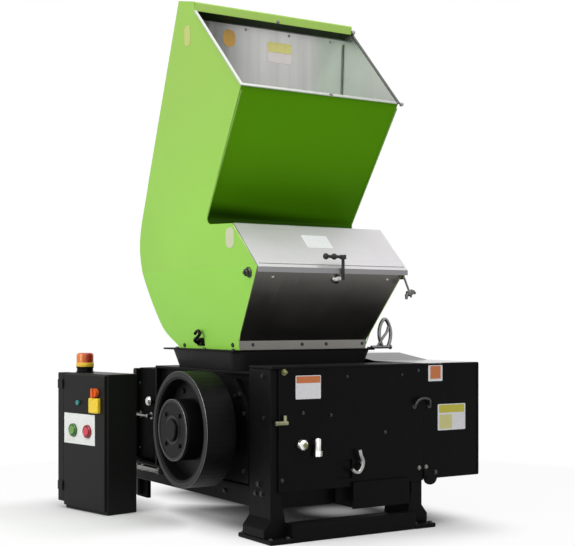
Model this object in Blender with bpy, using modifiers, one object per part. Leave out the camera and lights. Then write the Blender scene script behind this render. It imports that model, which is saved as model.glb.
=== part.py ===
"""Plastic granulator with an inclined feed hopper, an outside flywheel and a separate control cabinet.

Units are metres and +Z is up. X runs along the rotor, from the flywheel at -X to the belt guard at +X.
Y runs from the front panel at Y = 0 to the motor housing at the back. The origin lies on the floor, in the
middle of the front rail's underside.
"""

import math

import bmesh
import bpy
from mathutils import Matrix, Vector

# Clearances
GAP = 0.0003              # left between faces that touch
BEND_SEGMENTS = 5         # flats in a bent sheet corner
ROUND_STEPS = 40          # flats round a turned piece

# Machine body
BODY_WIDTH = 0.860
BODY_DEPTH = 1.170
BODY_TOP = 0.788          # top of the front cap
CAP_STEP = 0.031          # from the front cap down to the deck plate
DECK_THICKNESS = 0.012
PANEL_THICKNESS = 0.012
PANEL_BOTTOM = 0.2212
PANEL_LEFT_MARGIN = 0.037  # strip of the left leg that the front panel leaves bare
FLOOR_PLATE_THICKNESS = 0.012
OUTLET_MARGIN = 0.040     # from the bin's sides to the outlet in the floor plate
OUTLET_HALF_DEPTH = 0.160

# Legs, rails and beams
LEG_WIDTH = 0.065
LEG_DEPTH = 0.190
LEG_SPREAD = 0.035        # how far the foot flares out on the outer side
LEG_INNER_SPREAD = 0.020
FLARE_TOP = 0.105
FLARE_INNER_TOP = 0.170
FLARE_BOTTOM = 0.060
FOOT_THICKNESS = 0.020
FOOT_FRONT = -0.050
FOOT_BACK_MARGIN = 0.035
RAIL_HEIGHT = 0.082
RAIL_DEPTH = 0.075
RAIL_FRONT = -0.045
RAIL_WALL = 0.009
BEAM_BOTTOM = 0.1325
BEAM_WIDTH = 0.060
BEAM_INSET = 0.025        # from the body's side to the beam's outer face

# Motor housing at the back and its stand
HOUSING_LEFT = -0.290
HOUSING_BACK = 1.690
HOUSING_TOP = 0.7275
HOUSING_CHAMFER = 0.048
STAND_FOOT_DEPTH = 0.140
STAND_FOOT_WIDTH = 0.020

# Belt guard on the right side
GUARD_WIDTH = 0.3525
GUARD_BOTTOM = 0.2268
GUARD_BACK = 1.560
GUARD_HIGH = 0.820        # top of the guard over the pulleys
GUARD_RISE_START = 0.400
GUARD_RISE_END = 0.640

# Cutting chamber
WALL_THICKNESS = 0.016
WALL_INSET = 0.030        # from the body's side to the chamber wall's outer face
AXIS_Y = 0.480
AXIS_Z = 0.4816
CUT_RADIUS = 0.200
KNIFE_CLEARANCE = 0.005
SHAFT_RADIUS = 0.045
SHAFT_CLEARANCE = 0.004
CORE_RADIUS = 0.120
ROTOR_END_CLEARANCE = 0.006
ROTOR_ROWS = 5
KNIVES_PER_ROW = 3
ROW_STAGGER = math.radians(24)
KNIFE_THICKNESS = 0.018
KNIFE_DEPTH = 0.050
SCREEN_CLEARANCE = 0.009
SCREEN_THICKNESS = 0.006
BED_KNIFE_HEIGHT = 0.040
BED_KNIFE_DEPTH = 0.045
FEED_PLATE_THICKNESS = 0.012
FEED_PLATE_INSET = 0.018  # from the bed knife's edge to the feed plate

# Flywheel and the bearing beside it
WHEEL_RADIUS = 0.2746
WHEEL_WIDTH = 0.155
WHEEL_CLEARANCE = 0.060   # from the body's side to the wheel
WHEEL_RIM = 0.040
WHEEL_RECESS = 0.060
WHEEL_BACK_RECESS = 0.030
WHEEL_HUB_RADIUS = 0.145
WHEEL_HUB_PROUD = 0.036
CAP_RADIUS = 0.052
CAP_LENGTH = 0.014
BEARING_RADIUS = 0.125
BEARING_LENGTH = 0.040
BRACKET_WIDTH = 0.540
BRACKET_HEIGHT = 0.480
BRACKET_THICKNESS = 0.029
BRACKET_CHAMFER = 0.120

# Throat between the body and the hopper
THROAT_SIDE_MARGIN = 0.062   # from the body's side to the throat's inside
THROAT_HALF_WIDTH = BODY_WIDTH / 2 - THROAT_SIDE_MARGIN
THROAT_FRONT = 0.400
THROAT_BACK_MARGIN = 0.142   # from the body's back to the throat's inside
THROAT_BACK = BODY_DEPTH - THROAT_BACK_MARGIN
THROAT_WALL = 0.010
THROAT_CORNER = 0.050
THROAT_SPREAD = 0.024        # how much wider the throat's top is on each side
FLANGE_BOTTOM = 0.8445
FLANGE_THICKNESS = 0.0085
FLANGE_HALF_WIDTH = THROAT_HALF_WIDTH + 0.047
FLANGE_FRONT = THROAT_FRONT - 0.028
FLANGE_BACK = THROAT_BACK + 0.077
FLANGE_LEDGE = 0.013      # of the flange inside the throat's and the hopper's walls

# Hopper, as points of its side view: Y, Z. The back follows the throat's back edge
SHEET = 0.004
HOPPER_FOOT = FLANGE_BOTTOM + FLANGE_THICKNESS + GAP
HEEL_Y = THROAT_BACK - 0.025
HEEL = (HEEL_Y, HOPPER_FOOT)
BELLY_LOW = (HEEL_Y + 0.197, 0.992)
BELLY = (HEEL_Y + 0.355, 1.365)
BELLY_HIGH = (HEEL_Y + 0.219, 1.739)
CREST = (HEEL_Y - 0.1855, 2.594)
BROW_TOP = (HEEL_Y - 0.348, 2.556)
BROW = (HEEL_Y - 0.348, 2.512)
CEILING_BACK = (HEEL_Y - 0.281, 2.492)    # where the splash guard hangs from the ceiling
GUARD_FOOT = (HEEL_Y - 0.281, 2.130)      # lower edge of the splash guard
MOUTH_LOW = (0.230, 2.082)
NOTCH = (0.621, 1.464)
LID_HINGE = (0.352, 1.452)
NOSE = (0.134, 1.247)
LOWER_FRONT_FOOT = (0.392, 0.897)
NOTCH_RADIUS = 0.030
BROW_RADIUS = 0.010
# Half width of the hopper at three heights, each wider than the throat by its flare
HALF_WIDTH_LOW = (HOPPER_FOOT, THROAT_HALF_WIDTH + 0.002)
HALF_WIDTH_MID = (1.250, THROAT_HALF_WIDTH + 0.057)
HALF_WIDTH_TOP = (2.600, THROAT_HALF_WIDTH + 0.106)
TRIM = 0.016              # width of the steel frame round the mouth
TRIM_OUT = 0.008          # how far it stands out past the sheets
TRIM_THICKNESS = 0.005

# Lid of the front feed box
LID_THICKNESS = 0.006
LID_OVERHANG = 0.004
LID_LIP = 0.022
LID_KNOB_X = 0.034
LID_BOLT_RADIUS = 0.008
LID_GRIP_REACH = 0.098
LID_LOBE_RADIUS = 0.0155

# Granulate bin under the panel
BIN_LEFT = 0.0075
BIN_RIGHT = BODY_WIDTH / 2 - 0.093
BIN_BOTTOM = 0.119
BIN_FRONT_TOP = 0.2434
BIN_TOP = 0.2150
BIN_DEPTH = 0.620
BIN_WALL = 0.003
BIN_FLANGE = 0.013
RUNNER_WALL = 0.003
BIN_FRONT_THICKNESS = 0.012

# Fittings on the front panel: X from the body's left or right side, Z from the floor
RECESS_WIDTH = 0.090
RECESS_DEPTH = 0.009
RECESS_BOTTOM = 0.262
RECESS_TOP = 0.351
KNOB_X = -BODY_WIDTH / 2 + 0.1525
KNOB_Z = 0.433
KNOB_RADIUS = 0.027
BOLT_X = -BODY_WIDTH / 2 + 0.2300
BOLT_LOW = 0.3745
BOLT_HIGH = 0.4595
BOLT_RADIUS = 0.0150
CLAMP_LEFT = -BODY_WIDTH / 2 + 0.0100
CLAMP_RIGHT = -BODY_WIDTH / 2 + 0.0740
CLAMP_Z = 0.535
LEVER_RADIUS = 0.009
LEVER_STAND_OFF = 0.016

# Control cabinet; its local -X side carries the door, its local Y runs from the near edge to the hinges
CABINET_CORNER = (-0.752, 1.091)   # the near bottom corner, on the floor
CABINET_TURN = math.radians(11.0)
CABINET_WIDTH = 0.384
CABINET_DEPTH = 0.200
CABINET_HEIGHT = 0.718
CABINET_BASE = 0.020
DOOR_THICKNESS = 0.016
DOOR_REVEAL = 0.006
HINGE_POST_WIDTH = 0.055
HINGE_POST_DEPTH = 0.060
HINGE_POST_BOTTOM = 0.036
KNUCKLE_RADIUS = 0.005
KNUCKLE_HEIGHT = 0.046
DOOR_HINGE_X = -0.006
DOOR_HINGE_Y = 0.3825
DOOR_HINGE_HEIGHTS = (0.120, CABINET_HEIGHT - 0.060)
BUTTON_PLATE_HEIGHT = 0.158
BUTTON_PLATE_TOP = CABINET_HEIGHT - 0.210
# Near edge, far edge, bottom and top of the button plate
BUTTON_PLATE = (0.088, 0.368, BUTTON_PLATE_TOP - BUTTON_PLATE_HEIGHT, BUTTON_PLATE_TOP)
BUTTON_PLATE_THICKNESS = 0.002
BUTTON_HEIGHT = BUTTON_PLATE_TOP - 0.087
START_Y = 0.2810
STOP_Y = 0.1510
BUTTON_RADIUS = 0.0225
BUTTON_TRAVEL = 0.003
BEZEL_RADIUS = 0.0270
BEZEL_HEIGHT = 0.010
SWITCH_BASE_HEIGHT = 0.077
SWITCH_BASE_TOP = CABINET_HEIGHT - 0.122
# Near edge, far edge, bottom and top of the switch's base
SWITCH_BASE = (0.036, 0.119, SWITCH_BASE_TOP - SWITCH_BASE_HEIGHT, SWITCH_BASE_TOP)
SWITCH_BASE_DEPTH = 0.022
SWITCH_Y = 0.0775
SWITCH_Z = CABINET_HEIGHT - 0.0945
SWITCH_RADIUS = 0.023
SWITCH_DEPTH = 0.020
LAMP_Y = 0.238
LAMP_Z = CABINET_HEIGHT - 0.152
LAMP_RADIUS = 0.013
BEACON_Y = 0.327
BEACON_RADIUS = 0.040
BEACON_BASE_HEIGHT = 0.030
BEACON_HEIGHT = 0.104


def clear_scene():
    for item in list(bpy.data.objects):
        bpy.data.objects.remove(item, do_unlink=True)


def new_collection(name):
    group = bpy.data.collections.new(name)
    bpy.context.scene.collection.children.link(group)
    return group


clear_scene()
PARTS = new_collection("plastic_granulator")
CUTTERS = new_collection("cutters")


def finish_of(name, colour, roughness, metallic):
    surface = bpy.data.materials.new(name)
    surface.use_nodes = True
    shader = surface.node_tree.nodes["Principled BSDF"]
    shader.inputs["Base Color"].default_value = (*colour, 1.0)
    shader.inputs["Roughness"].default_value = roughness
    shader.inputs["Metallic"].default_value = metallic
    surface.diffuse_color = (*colour, 1.0)
    return surface


GREEN = ((0.33, 0.66, 0.11), 0.38, 0.0)
BLACK = ((0.012, 0.012, 0.013), 0.42, 0.0)
STAINLESS = ((0.62, 0.62, 0.61), 0.30, 1.0)
STEEL = ((0.45, 0.45, 0.46), 0.35, 1.0)
CAST = ((0.02, 0.02, 0.022), 0.50, 0.2)
WHITE = ((0.80, 0.80, 0.78), 0.40, 0.0)
YELLOW = ((0.85, 0.65, 0.03), 0.40, 0.0)
RED = ((0.75, 0.05, 0.03), 0.35, 0.0)
GREEN_PLASTIC = ((0.05, 0.45, 0.20), 0.35, 0.0)
TEAL = ((0.05, 0.55, 0.50), 0.30, 0.0)
ORANGE = ((0.95, 0.28, 0.02), 0.20, 0.0)


def add_part(name, mesh, finish, matrix=None):
    item = bpy.data.objects.new(name, mesh)
    PARTS.objects.link(item)
    if matrix is not None:
        item.matrix_world = matrix
    mesh.materials.clear()
    mesh.materials.append(finish_of(name, *finish))
    return item


def add_bevel(item, width, segments=1):
    bevel = item.modifiers.new("edges", "BEVEL")
    bevel.width = width
    bevel.segments = segments
    bevel.limit_method = "ANGLE"
    bevel.angle_limit = math.radians(40)
    return bevel


def box_mesh(name, size):
    mesh = bpy.data.meshes.new(name)
    work = bmesh.new()
    bmesh.ops.create_cube(work, size=1.0)
    bmesh.ops.scale(work, vec=Vector(size), verts=work.verts)
    work.to_mesh(mesh)
    work.free()
    return mesh


def box(name, low, high, finish, edge=0.0, segments=1):
    low, high = Vector(low), Vector(high)
    item = add_part(name, box_mesh(name, high - low), finish, Matrix.Translation((low + high) / 2))
    if edge:
        add_bevel(item, edge, segments)
    return item


def box_cutter(name, low, high):
    low, high = Vector(low), Vector(high)
    item = bpy.data.objects.new(name, box_mesh(name, high - low))
    item.matrix_world = Matrix.Translation((low + high) / 2)
    return as_cutter(item)


def as_cutter(item):
    for group in list(item.users_collection):
        group.objects.unlink(item)
    CUTTERS.objects.link(item)
    item.hide_render = True
    item.display_type = "WIRE"
    return item


def combine(item, other, operation):
    change = item.modifiers.new(operation.lower(), "BOOLEAN")
    change.operation = operation
    change.object = other
    change.solver = "EXACT"
    return change


def cylinder_mesh(name, radius, length, sides=ROUND_STEPS, end_radius=None):
    mesh = bpy.data.meshes.new(name)
    work = bmesh.new()
    far = radius if end_radius is None else end_radius
    bmesh.ops.create_cone(work, cap_ends=True, segments=sides, radius1=radius, radius2=far, depth=length)
    work.to_mesh(mesh)
    work.free()
    return mesh


def along(axis):
    """Rotation that turns local +Z to the named world axis."""
    turns = {
        "Z": Matrix.Identity(4),
        "X": Matrix.Rotation(math.pi / 2, 4, "Y"),
        "-X": Matrix.Rotation(-math.pi / 2, 4, "Y"),
        "Y": Matrix.Rotation(-math.pi / 2, 4, "X"),
        "-Y": Matrix.Rotation(math.pi / 2, 4, "X"),
    }
    return turns[axis]


def cylinder(name, centre, radius, length, axis, finish, sides=ROUND_STEPS, edge=0.0):
    item = add_part(name, cylinder_mesh(name, radius, length, sides), finish,
                    Matrix.Translation(centre) @ along(axis))
    item.data.shade_smooth()
    item.data.set_sharp_from_angle(angle=math.radians(40))
    if edge:
        add_bevel(item, edge)
    return item


def cylinder_cutter(name, centre, radius, length, axis, sides=ROUND_STEPS):
    item = bpy.data.objects.new(name, cylinder_mesh(name, radius, length, sides))
    item.matrix_world = Matrix.Translation(centre) @ along(axis)
    return as_cutter(item)


def turned(name, profile, centre, axis, finish, closed=True, steps=ROUND_STEPS):
    """Turn a profile of (radius, height) points about the local Z axis, outer side from top to bottom."""
    mesh = bpy.data.meshes.new(name)
    work = bmesh.new()
    points = [work.verts.new((radius, 0.0, height)) for radius, height in profile]
    for first, second in zip(points, points[1:]):
        work.edges.new((first, second))
    if closed:
        work.edges.new((points[-1], points[0]))
    work.to_mesh(mesh)
    work.free()
    item = add_part(name, mesh, finish, Matrix.Translation(centre) @ along(axis))
    screw = item.modifiers.new("turn", "SCREW")
    screw.axis = "Z"
    screw.steps = steps
    screw.render_steps = steps
    screw.use_merge_vertices = True
    screw.merge_threshold = 0.00001
    screw.use_smooth_shade = True
    return item


PLANES = {
    "YZ": Matrix(((0, 0, 1, 0), (1, 0, 0, 0), (0, 1, 0, 0), (0, 0, 0, 1))),
    "XZ": Matrix(((1, 0, 0, 0), (0, 0, -1, 0), (0, 1, 0, 0), (0, 0, 0, 1))),
    "XY": Matrix.Identity(4),
}


def outline_mesh(name, outlines, plane, thickness, middle):
    """Fill flat outlines in a plane and give them thickness. Later outlines are holes."""
    curve = bpy.data.curves.new(name, "CURVE")
    curve.dimensions = "2D"
    curve.fill_mode = "BOTH"
    curve.extrude = thickness / 2
    for outline in outlines:
        spline = curve.splines.new("POLY")
        spline.points.add(len(outline) - 1)
        for point, (across, up) in zip(spline.points, outline):
            point.co = (across, up, 0.0, 1.0)
        spline.use_cyclic_u = True
    holder = bpy.data.objects.new(name, curve)
    bpy.context.scene.collection.objects.link(holder)
    bpy.context.view_layer.update()
    mesh = bpy.data.meshes.new_from_object(holder.evaluated_get(bpy.context.evaluated_depsgraph_get()))
    bpy.data.objects.remove(holder)
    bpy.data.curves.remove(curve)
    work = bmesh.new()
    work.from_mesh(mesh)
    bmesh.ops.remove_doubles(work, verts=work.verts, dist=0.00001)
    bmesh.ops.transform(work, matrix=PLANES[plane] @ Matrix.Translation((0, 0, middle)), verts=work.verts)
    bmesh.ops.recalc_face_normals(work, faces=work.faces)
    work.to_mesh(mesh)
    work.free()
    return mesh


def plate(name, outlines, plane, thickness, middle, finish, edge=0.0):
    item = add_part(name, outline_mesh(name, outlines, plane, thickness, middle), finish)
    if edge:
        add_bevel(item, edge)
    return item


def rounded(points, radii, segments=BEND_SEGMENTS):
    """An outline whose corners are replaced by arcs; a radius of 0 keeps the corner."""
    result = []
    count = len(points)
    for index, radius in enumerate(radii):
        here = Vector(points[index])
        if radius <= 0:
            result.append(tuple(here))
            continue
        before = (Vector(points[index - 1]) - here).normalized()
        after = (Vector(points[(index + 1) % count]) - here).normalized()
        half = before.angle(after) / 2
        reach = radius / math.tan(half)
        centre = here + (before + after).normalized() * (radius / math.sin(half))
        start = here + before * reach
        end = here + after * reach
        first = math.atan2(start.y - centre.y, start.x - centre.x)
        last = math.atan2(end.y - centre.y, end.x - centre.x)
        sweep = (last - first + math.pi) % (2 * math.pi) - math.pi
        for step in range(segments + 1):
            angle = first + sweep * step / segments
            result.append((centre.x + radius * math.cos(angle), centre.y + radius * math.sin(angle)))
    return result


def rectangle(left, low, right, high):
    return [(left, low), (right, low), (right, high), (left, high)]


def circle(centre_across, centre_up, radius, count=ROUND_STEPS):
    return [(centre_across + radius * math.cos(2 * math.pi * i / count),
             centre_up + radius * math.sin(2 * math.pi * i / count)) for i in range(count)]


# Sizes that several pieces share
HALF_BODY = BODY_WIDTH / 2
CAP_UNDER = BODY_TOP - DECK_THICKNESS - GAP
DECK_TOP = BODY_TOP - CAP_STEP
DECK_UNDER = DECK_TOP - DECK_THICKNESS - GAP
LEG_FRONT = PANEL_THICKNESS + GAP
LEG_BACK = LEG_FRONT + LEG_DEPTH
LEG_INNER = HALF_BODY - LEG_WIDTH
FLOOR_PLATE_TOP = PANEL_BOTTOM + FLOOR_PLATE_THICKNESS
WALL_OUTER = HALF_BODY - WALL_INSET
WALL_INNER = WALL_OUTER - WALL_THICKNESS
CHAMBER_HALF = WALL_INNER - GAP
BEAM_OUTER = HALF_BODY - BEAM_INSET
BEAM_INNER = BEAM_OUTER - BEAM_WIDTH
GUARD_LEFT = HALF_BODY + GAP
GUARD_RIGHT = HALF_BODY + GUARD_WIDTH


def front_legs():
    """Two flat legs with flared feet and a foot plate under each."""
    for side, word in ((-1, "left"), (1, "right")):
        outline = [
            (side * HALF_BODY, CAP_UNDER),
            (side * HALF_BODY, FLARE_TOP),
            (side * (HALF_BODY + LEG_SPREAD), FLARE_BOTTOM),
            (side * (HALF_BODY + LEG_SPREAD), FOOT_THICKNESS + GAP),
            (side * (LEG_INNER - LEG_INNER_SPREAD), FOOT_THICKNESS + GAP),
            (side * (LEG_INNER - LEG_INNER_SPREAD), FLARE_BOTTOM),
            (side * LEG_INNER, FLARE_INNER_TOP),
            (side * LEG_INNER, CAP_UNDER),
        ]
        plate("front_leg_" + word, [outline], "XZ", LEG_DEPTH, -(LEG_FRONT + LEG_BACK) / 2, BLACK, 0.003)
        inner = side * (LEG_INNER - LEG_INNER_SPREAD)
        outer = side * (HALF_BODY + LEG_SPREAD + 0.003)
        box("foot_plate_" + word, (min(inner, outer), FOOT_FRONT, 0.0),
            (max(inner, outer), LEG_BACK + FOOT_BACK_MARGIN, FOOT_THICKNESS), BLACK, 0.003)


def base_frame():
    """Channel rail across the front, two side beams and the stand under the motor housing."""
    reach = LEG_INNER - LEG_INNER_SPREAD - GAP
    back = RAIL_FRONT + RAIL_DEPTH
    channel = [
        (RAIL_FRONT, 0.0), (back, 0.0), (back, RAIL_WALL), (RAIL_FRONT + RAIL_WALL, RAIL_WALL),
        (RAIL_FRONT + RAIL_WALL, RAIL_HEIGHT - RAIL_WALL), (back, RAIL_HEIGHT - RAIL_WALL),
        (back, RAIL_HEIGHT), (RAIL_FRONT, RAIL_HEIGHT),
    ]
    plate("front_rail", [channel], "YZ", 2 * reach, 0.0, BLACK)
    beam_back = HOUSING_BACK - STAND_FOOT_DEPTH - GAP
    beam_top = PANEL_BOTTOM - GAP
    for side, word in ((-1, "left"), (1, "right")):
        low_x, high_x = sorted((side * BEAM_INNER, side * BEAM_OUTER))
        box("side_beam_" + word, (low_x, LEG_BACK + GAP, BEAM_BOTTOM), (high_x, beam_back, beam_top), BLACK,
            0.004)
    stand = box("rear_stand", (-BEAM_OUTER, beam_back + GAP, BEAM_BOTTOM),
                (BEAM_OUTER, HOUSING_BACK, beam_top), BLACK)
    for side in (-1, 1):
        outer = side * -HOUSING_LEFT
        inner = side * (-HOUSING_LEFT - STAND_FOOT_WIDTH)
        low_x, high_x = sorted((inner, outer))
        foot = box_cutter("stand_foot", (low_x, HOUSING_BACK - STAND_FOOT_DEPTH, 0.0),
                          (high_x, HOUSING_BACK - 0.002, BEAM_BOTTOM + 0.010))
        combine(stand, foot, "UNION")


def body_shell():
    """Floor plate, chamber walls, rear wall, deck plate, front cap and front panel."""
    wall_front = LEG_BACK + GAP
    body = rectangle(-HALF_BODY, wall_front, HALF_BODY, BODY_DEPTH)
    outlet = rectangle(BIN_LEFT + OUTLET_MARGIN, AXIS_Y - OUTLET_HALF_DEPTH,
                       BIN_RIGHT - OUTLET_MARGIN, AXIS_Y + OUTLET_HALF_DEPTH)
    plate("floor_plate", [body, outlet], "XY", FLOOR_PLATE_THICKNESS, (PANEL_BOTTOM + FLOOR_PLATE_TOP) / 2,
          BLACK)
    shaft_hole = circle(AXIS_Y, AXIS_Z, SHAFT_RADIUS + SHAFT_CLEARANCE)
    for side, word in ((-1, "left"), (1, "right")):
        outline = rectangle(wall_front, FLOOR_PLATE_TOP + GAP,
                            BODY_DEPTH - WALL_THICKNESS - GAP, DECK_UNDER)
        plate("chamber_wall_" + word, [outline, shaft_hole], "YZ", WALL_THICKNESS,
              side * (WALL_INNER + WALL_OUTER) / 2, BLACK)
    box("rear_wall", (-HALF_BODY, BODY_DEPTH - WALL_THICKNESS, FLOOR_PLATE_TOP + GAP),
        (HALF_BODY, BODY_DEPTH, DECK_UNDER), BLACK)
    opening = rounded(rectangle(-THROAT_HALF_WIDTH, THROAT_FRONT, THROAT_HALF_WIDTH, THROAT_BACK),
                      [THROAT_CORNER] * 4)
    plate("deck_plate", [body, opening], "XY", DECK_THICKNESS, DECK_TOP - DECK_THICKNESS / 2, BLACK, 0.002)
    box("front_cap", (-HALF_BODY, 0.0, CAP_UNDER + GAP), (HALF_BODY, LEG_BACK, BODY_TOP), BLACK, 0.003, 2)
    panel = box("front_panel", (-HALF_BODY + PANEL_LEFT_MARGIN, 0.0, PANEL_BOTTOM),
                (HALF_BODY, PANEL_THICKNESS, CAP_UNDER), BLACK, 0.003, 2)
    recess = box_cutter("lever_recess", (BIN_LEFT - RECESS_WIDTH, -0.01, RECESS_BOTTOM),
                        (BIN_LEFT, RECESS_DEPTH, RECESS_TOP))
    combine(panel, recess, "DIFFERENCE")


def cutting_chamber():
    """Sloped feed plates, bed knives and the screen that wraps the lower half of the rotor."""
    tip = CUT_RADIUS + KNIFE_CLEARANCE
    for side, word, throat in ((-1, "front", THROAT_FRONT), (1, "rear", THROAT_BACK)):
        near = AXIS_Y + side * tip
        far = near + side * BED_KNIFE_DEPTH
        low_y, high_y = sorted((near, far))
        box("bed_knife_" + word, (-CHAMBER_HALF, low_y, AXIS_Z - BED_KNIFE_HEIGHT / 2),
            (CHAMBER_HALF, high_y, AXIS_Z + BED_KNIFE_HEIGHT / 2), STEEL)
        foot_z = AXIS_Z + BED_KNIFE_HEIGHT / 2 + GAP
        foot_y = near + side * FEED_PLATE_INSET
        sheet = [(foot_y, foot_z), (throat, DECK_UNDER), (throat + side * FEED_PLATE_THICKNESS, DECK_UNDER),
                 (foot_y + side * FEED_PLATE_THICKNESS, foot_z)]
        plate("feed_plate_" + word, [sheet], "YZ", 2 * CHAMBER_HALF, 0.0, BLACK)
    inner = CUT_RADIUS + SCREEN_CLEARANCE
    outer = inner + SCREEN_THICKNESS
    drop = BED_KNIFE_HEIGHT / 2 + GAP
    flats = 20
    inner_start = math.asin(drop / inner)
    outer_start = math.asin(drop / outer)
    arc = []
    for step in range(flats + 1):
        angle = -inner_start - (math.pi - 2 * inner_start) * step / flats
        arc.append((AXIS_Y + inner * math.cos(angle), AXIS_Z + inner * math.sin(angle)))
    for step in range(flats, -1, -1):
        angle = -outer_start - (math.pi - 2 * outer_start) * step / flats
        arc.append((AXIS_Y + outer * math.cos(angle), AXIS_Z + outer * math.sin(angle)))
    plate("screen", [arc], "YZ", 2 * CHAMBER_HALF, 0.0, STEEL)


def rotor_group():
    """Shaft and rotor with staggered rows of knives, the flywheel and its end cap."""
    half = CHAMBER_HALF - ROTOR_END_CLEARANCE
    wheel_outer = -(HALF_BODY + WHEEL_CLEARANCE + WHEEL_WIDTH)
    shaft_end = -(wheel_outer - WHEEL_HUB_PROUD)
    tail_end = -(HALF_BODY - 0.004)
    profile = [(0.0, shaft_end), (SHAFT_RADIUS, shaft_end), (SHAFT_RADIUS, half), (CORE_RADIUS, half),
               (CORE_RADIUS, -half), (SHAFT_RADIUS, -half), (SHAFT_RADIUS, tail_end), (0.0, tail_end)]
    rotor = turned("rotor", profile, (0.0, AXIS_Y, AXIS_Z), "-X", STEEL, closed=False)
    row_length = 2 * half / ROTOR_ROWS
    for row in range(ROTOR_ROWS):
        middle = -half + row_length * (row + 0.5)
        for knife in range(KNIVES_PER_ROW):
            angle = 2 * math.pi * knife / KNIVES_PER_ROW + ROW_STAGGER * row
            outline = [(CORE_RADIUS - 0.030, -KNIFE_DEPTH), (CUT_RADIUS - 0.022, -KNIFE_DEPTH * 0.45),
                       (CUT_RADIUS - 0.001, 0.0), (CUT_RADIUS - 0.004, KNIFE_THICKNESS * 0.5),
                       (CORE_RADIUS - 0.030, KNIFE_THICKNESS)]
            turn = [(AXIS_Y + r * math.cos(angle) - t * math.sin(angle),
                     AXIS_Z + r * math.sin(angle) + t * math.cos(angle)) for r, t in outline]
            mesh = outline_mesh("knife", [turn], "YZ", row_length - 0.012, middle)
            combine(rotor, as_cutter(bpy.data.objects.new("knife", mesh)), "UNION")
    bore = SHAFT_RADIUS + GAP
    face = WHEEL_WIDTH / 2
    web = face - WHEEL_RECESS
    profile = [
        (bore, face + WHEEL_HUB_PROUD), (WHEEL_HUB_RADIUS - 0.012, face + WHEEL_HUB_PROUD),
        (WHEEL_HUB_RADIUS, face + WHEEL_HUB_PROUD - 0.012), (WHEEL_HUB_RADIUS, web),
        (WHEEL_RADIUS - WHEEL_RIM - 0.008, web), (WHEEL_RADIUS - WHEEL_RIM, face - 0.008),
        (WHEEL_RADIUS - WHEEL_RIM + 0.004, face), (WHEEL_RADIUS - 0.006, face),
        (WHEEL_RADIUS, face - 0.006), (WHEEL_RADIUS, -face + 0.006),
        (WHEEL_RADIUS - 0.006, -face), (WHEEL_RADIUS - WHEEL_RIM, -face),
        (WHEEL_RADIUS - WHEEL_RIM, -face + WHEEL_BACK_RECESS),
        (WHEEL_HUB_RADIUS, -face + WHEEL_BACK_RECESS), (WHEEL_HUB_RADIUS, -face), (bore, -face),
    ]
    centre_x = wheel_outer + face
    turned("flywheel", profile, (centre_x, AXIS_Y, AXIS_Z), "-X", CAST, steps=56)
    edge = CAP_RADIUS - 0.005
    cap = [(0.0, CAP_LENGTH), (edge, CAP_LENGTH), (CAP_RADIUS, CAP_LENGTH - 0.005), (CAP_RADIUS, 0.0),
           (0.0, 0.0)]
    turned("shaft_cap", cap, (-shaft_end - GAP, AXIS_Y, AXIS_Z), "-X", STEEL, closed=False)


def bearing_group():
    """Bracket plate bolted to the chamber wall and the bearing housing on it."""
    low, high = AXIS_Z - BRACKET_HEIGHT / 2, AXIS_Z + BRACKET_HEIGHT / 2
    left, right = AXIS_Y - BRACKET_WIDTH / 2, AXIS_Y + BRACKET_WIDTH / 2
    c = BRACKET_CHAMFER
    outline = [(left, low), (right, low), (right, high - c), (right - c, high), (left + c, high),
               (left, high - c)]
    outer = -(WALL_OUTER + GAP + BRACKET_THICKNESS)
    plate("bearing_bracket", [outline, circle(AXIS_Y, AXIS_Z, SHAFT_RADIUS + SHAFT_CLEARANCE)], "YZ",
          BRACKET_THICKNESS, (outer - WALL_OUTER - GAP) / 2, BLACK, 0.004)
    bore = SHAFT_RADIUS + GAP
    profile = [(bore, BEARING_LENGTH), (0.085, BEARING_LENGTH), (0.092, BEARING_LENGTH - 0.010),
               (BEARING_RADIUS, 0.016), (BEARING_RADIUS, 0.0), (bore, 0.0)]
    turned("bearing_housing", profile, (outer - GAP, AXIS_Y, AXIS_Z), "-X", CAST)


def guard_and_motor():
    """Closed belt guard, its top rising over the pulleys, and the motor housing behind the chamber."""
    outline = [(0.0, GUARD_BOTTOM), (GUARD_BACK, GUARD_BOTTOM), (GUARD_BACK, GUARD_HIGH),
               (GUARD_RISE_END, GUARD_HIGH), (GUARD_RISE_START, BODY_TOP), (0.0, BODY_TOP)]
    plate("belt_guard", [outline], "YZ", GUARD_RIGHT - GUARD_LEFT, (GUARD_LEFT + GUARD_RIGHT) / 2, BLACK,
          0.003)
    low = PANEL_BOTTOM
    c = HOUSING_CHAMFER
    front = BODY_DEPTH + GAP
    outline = [(front, low), (HOUSING_BACK, low), (HOUSING_BACK, HOUSING_TOP - c),
               (HOUSING_BACK - c * 0.7, HOUSING_TOP), (front, HOUSING_TOP)]
    plate("motor_housing", [outline], "YZ", HALF_BODY - HOUSING_LEFT, (HALF_BODY + HOUSING_LEFT) / 2, BLACK,
          0.004)


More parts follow.
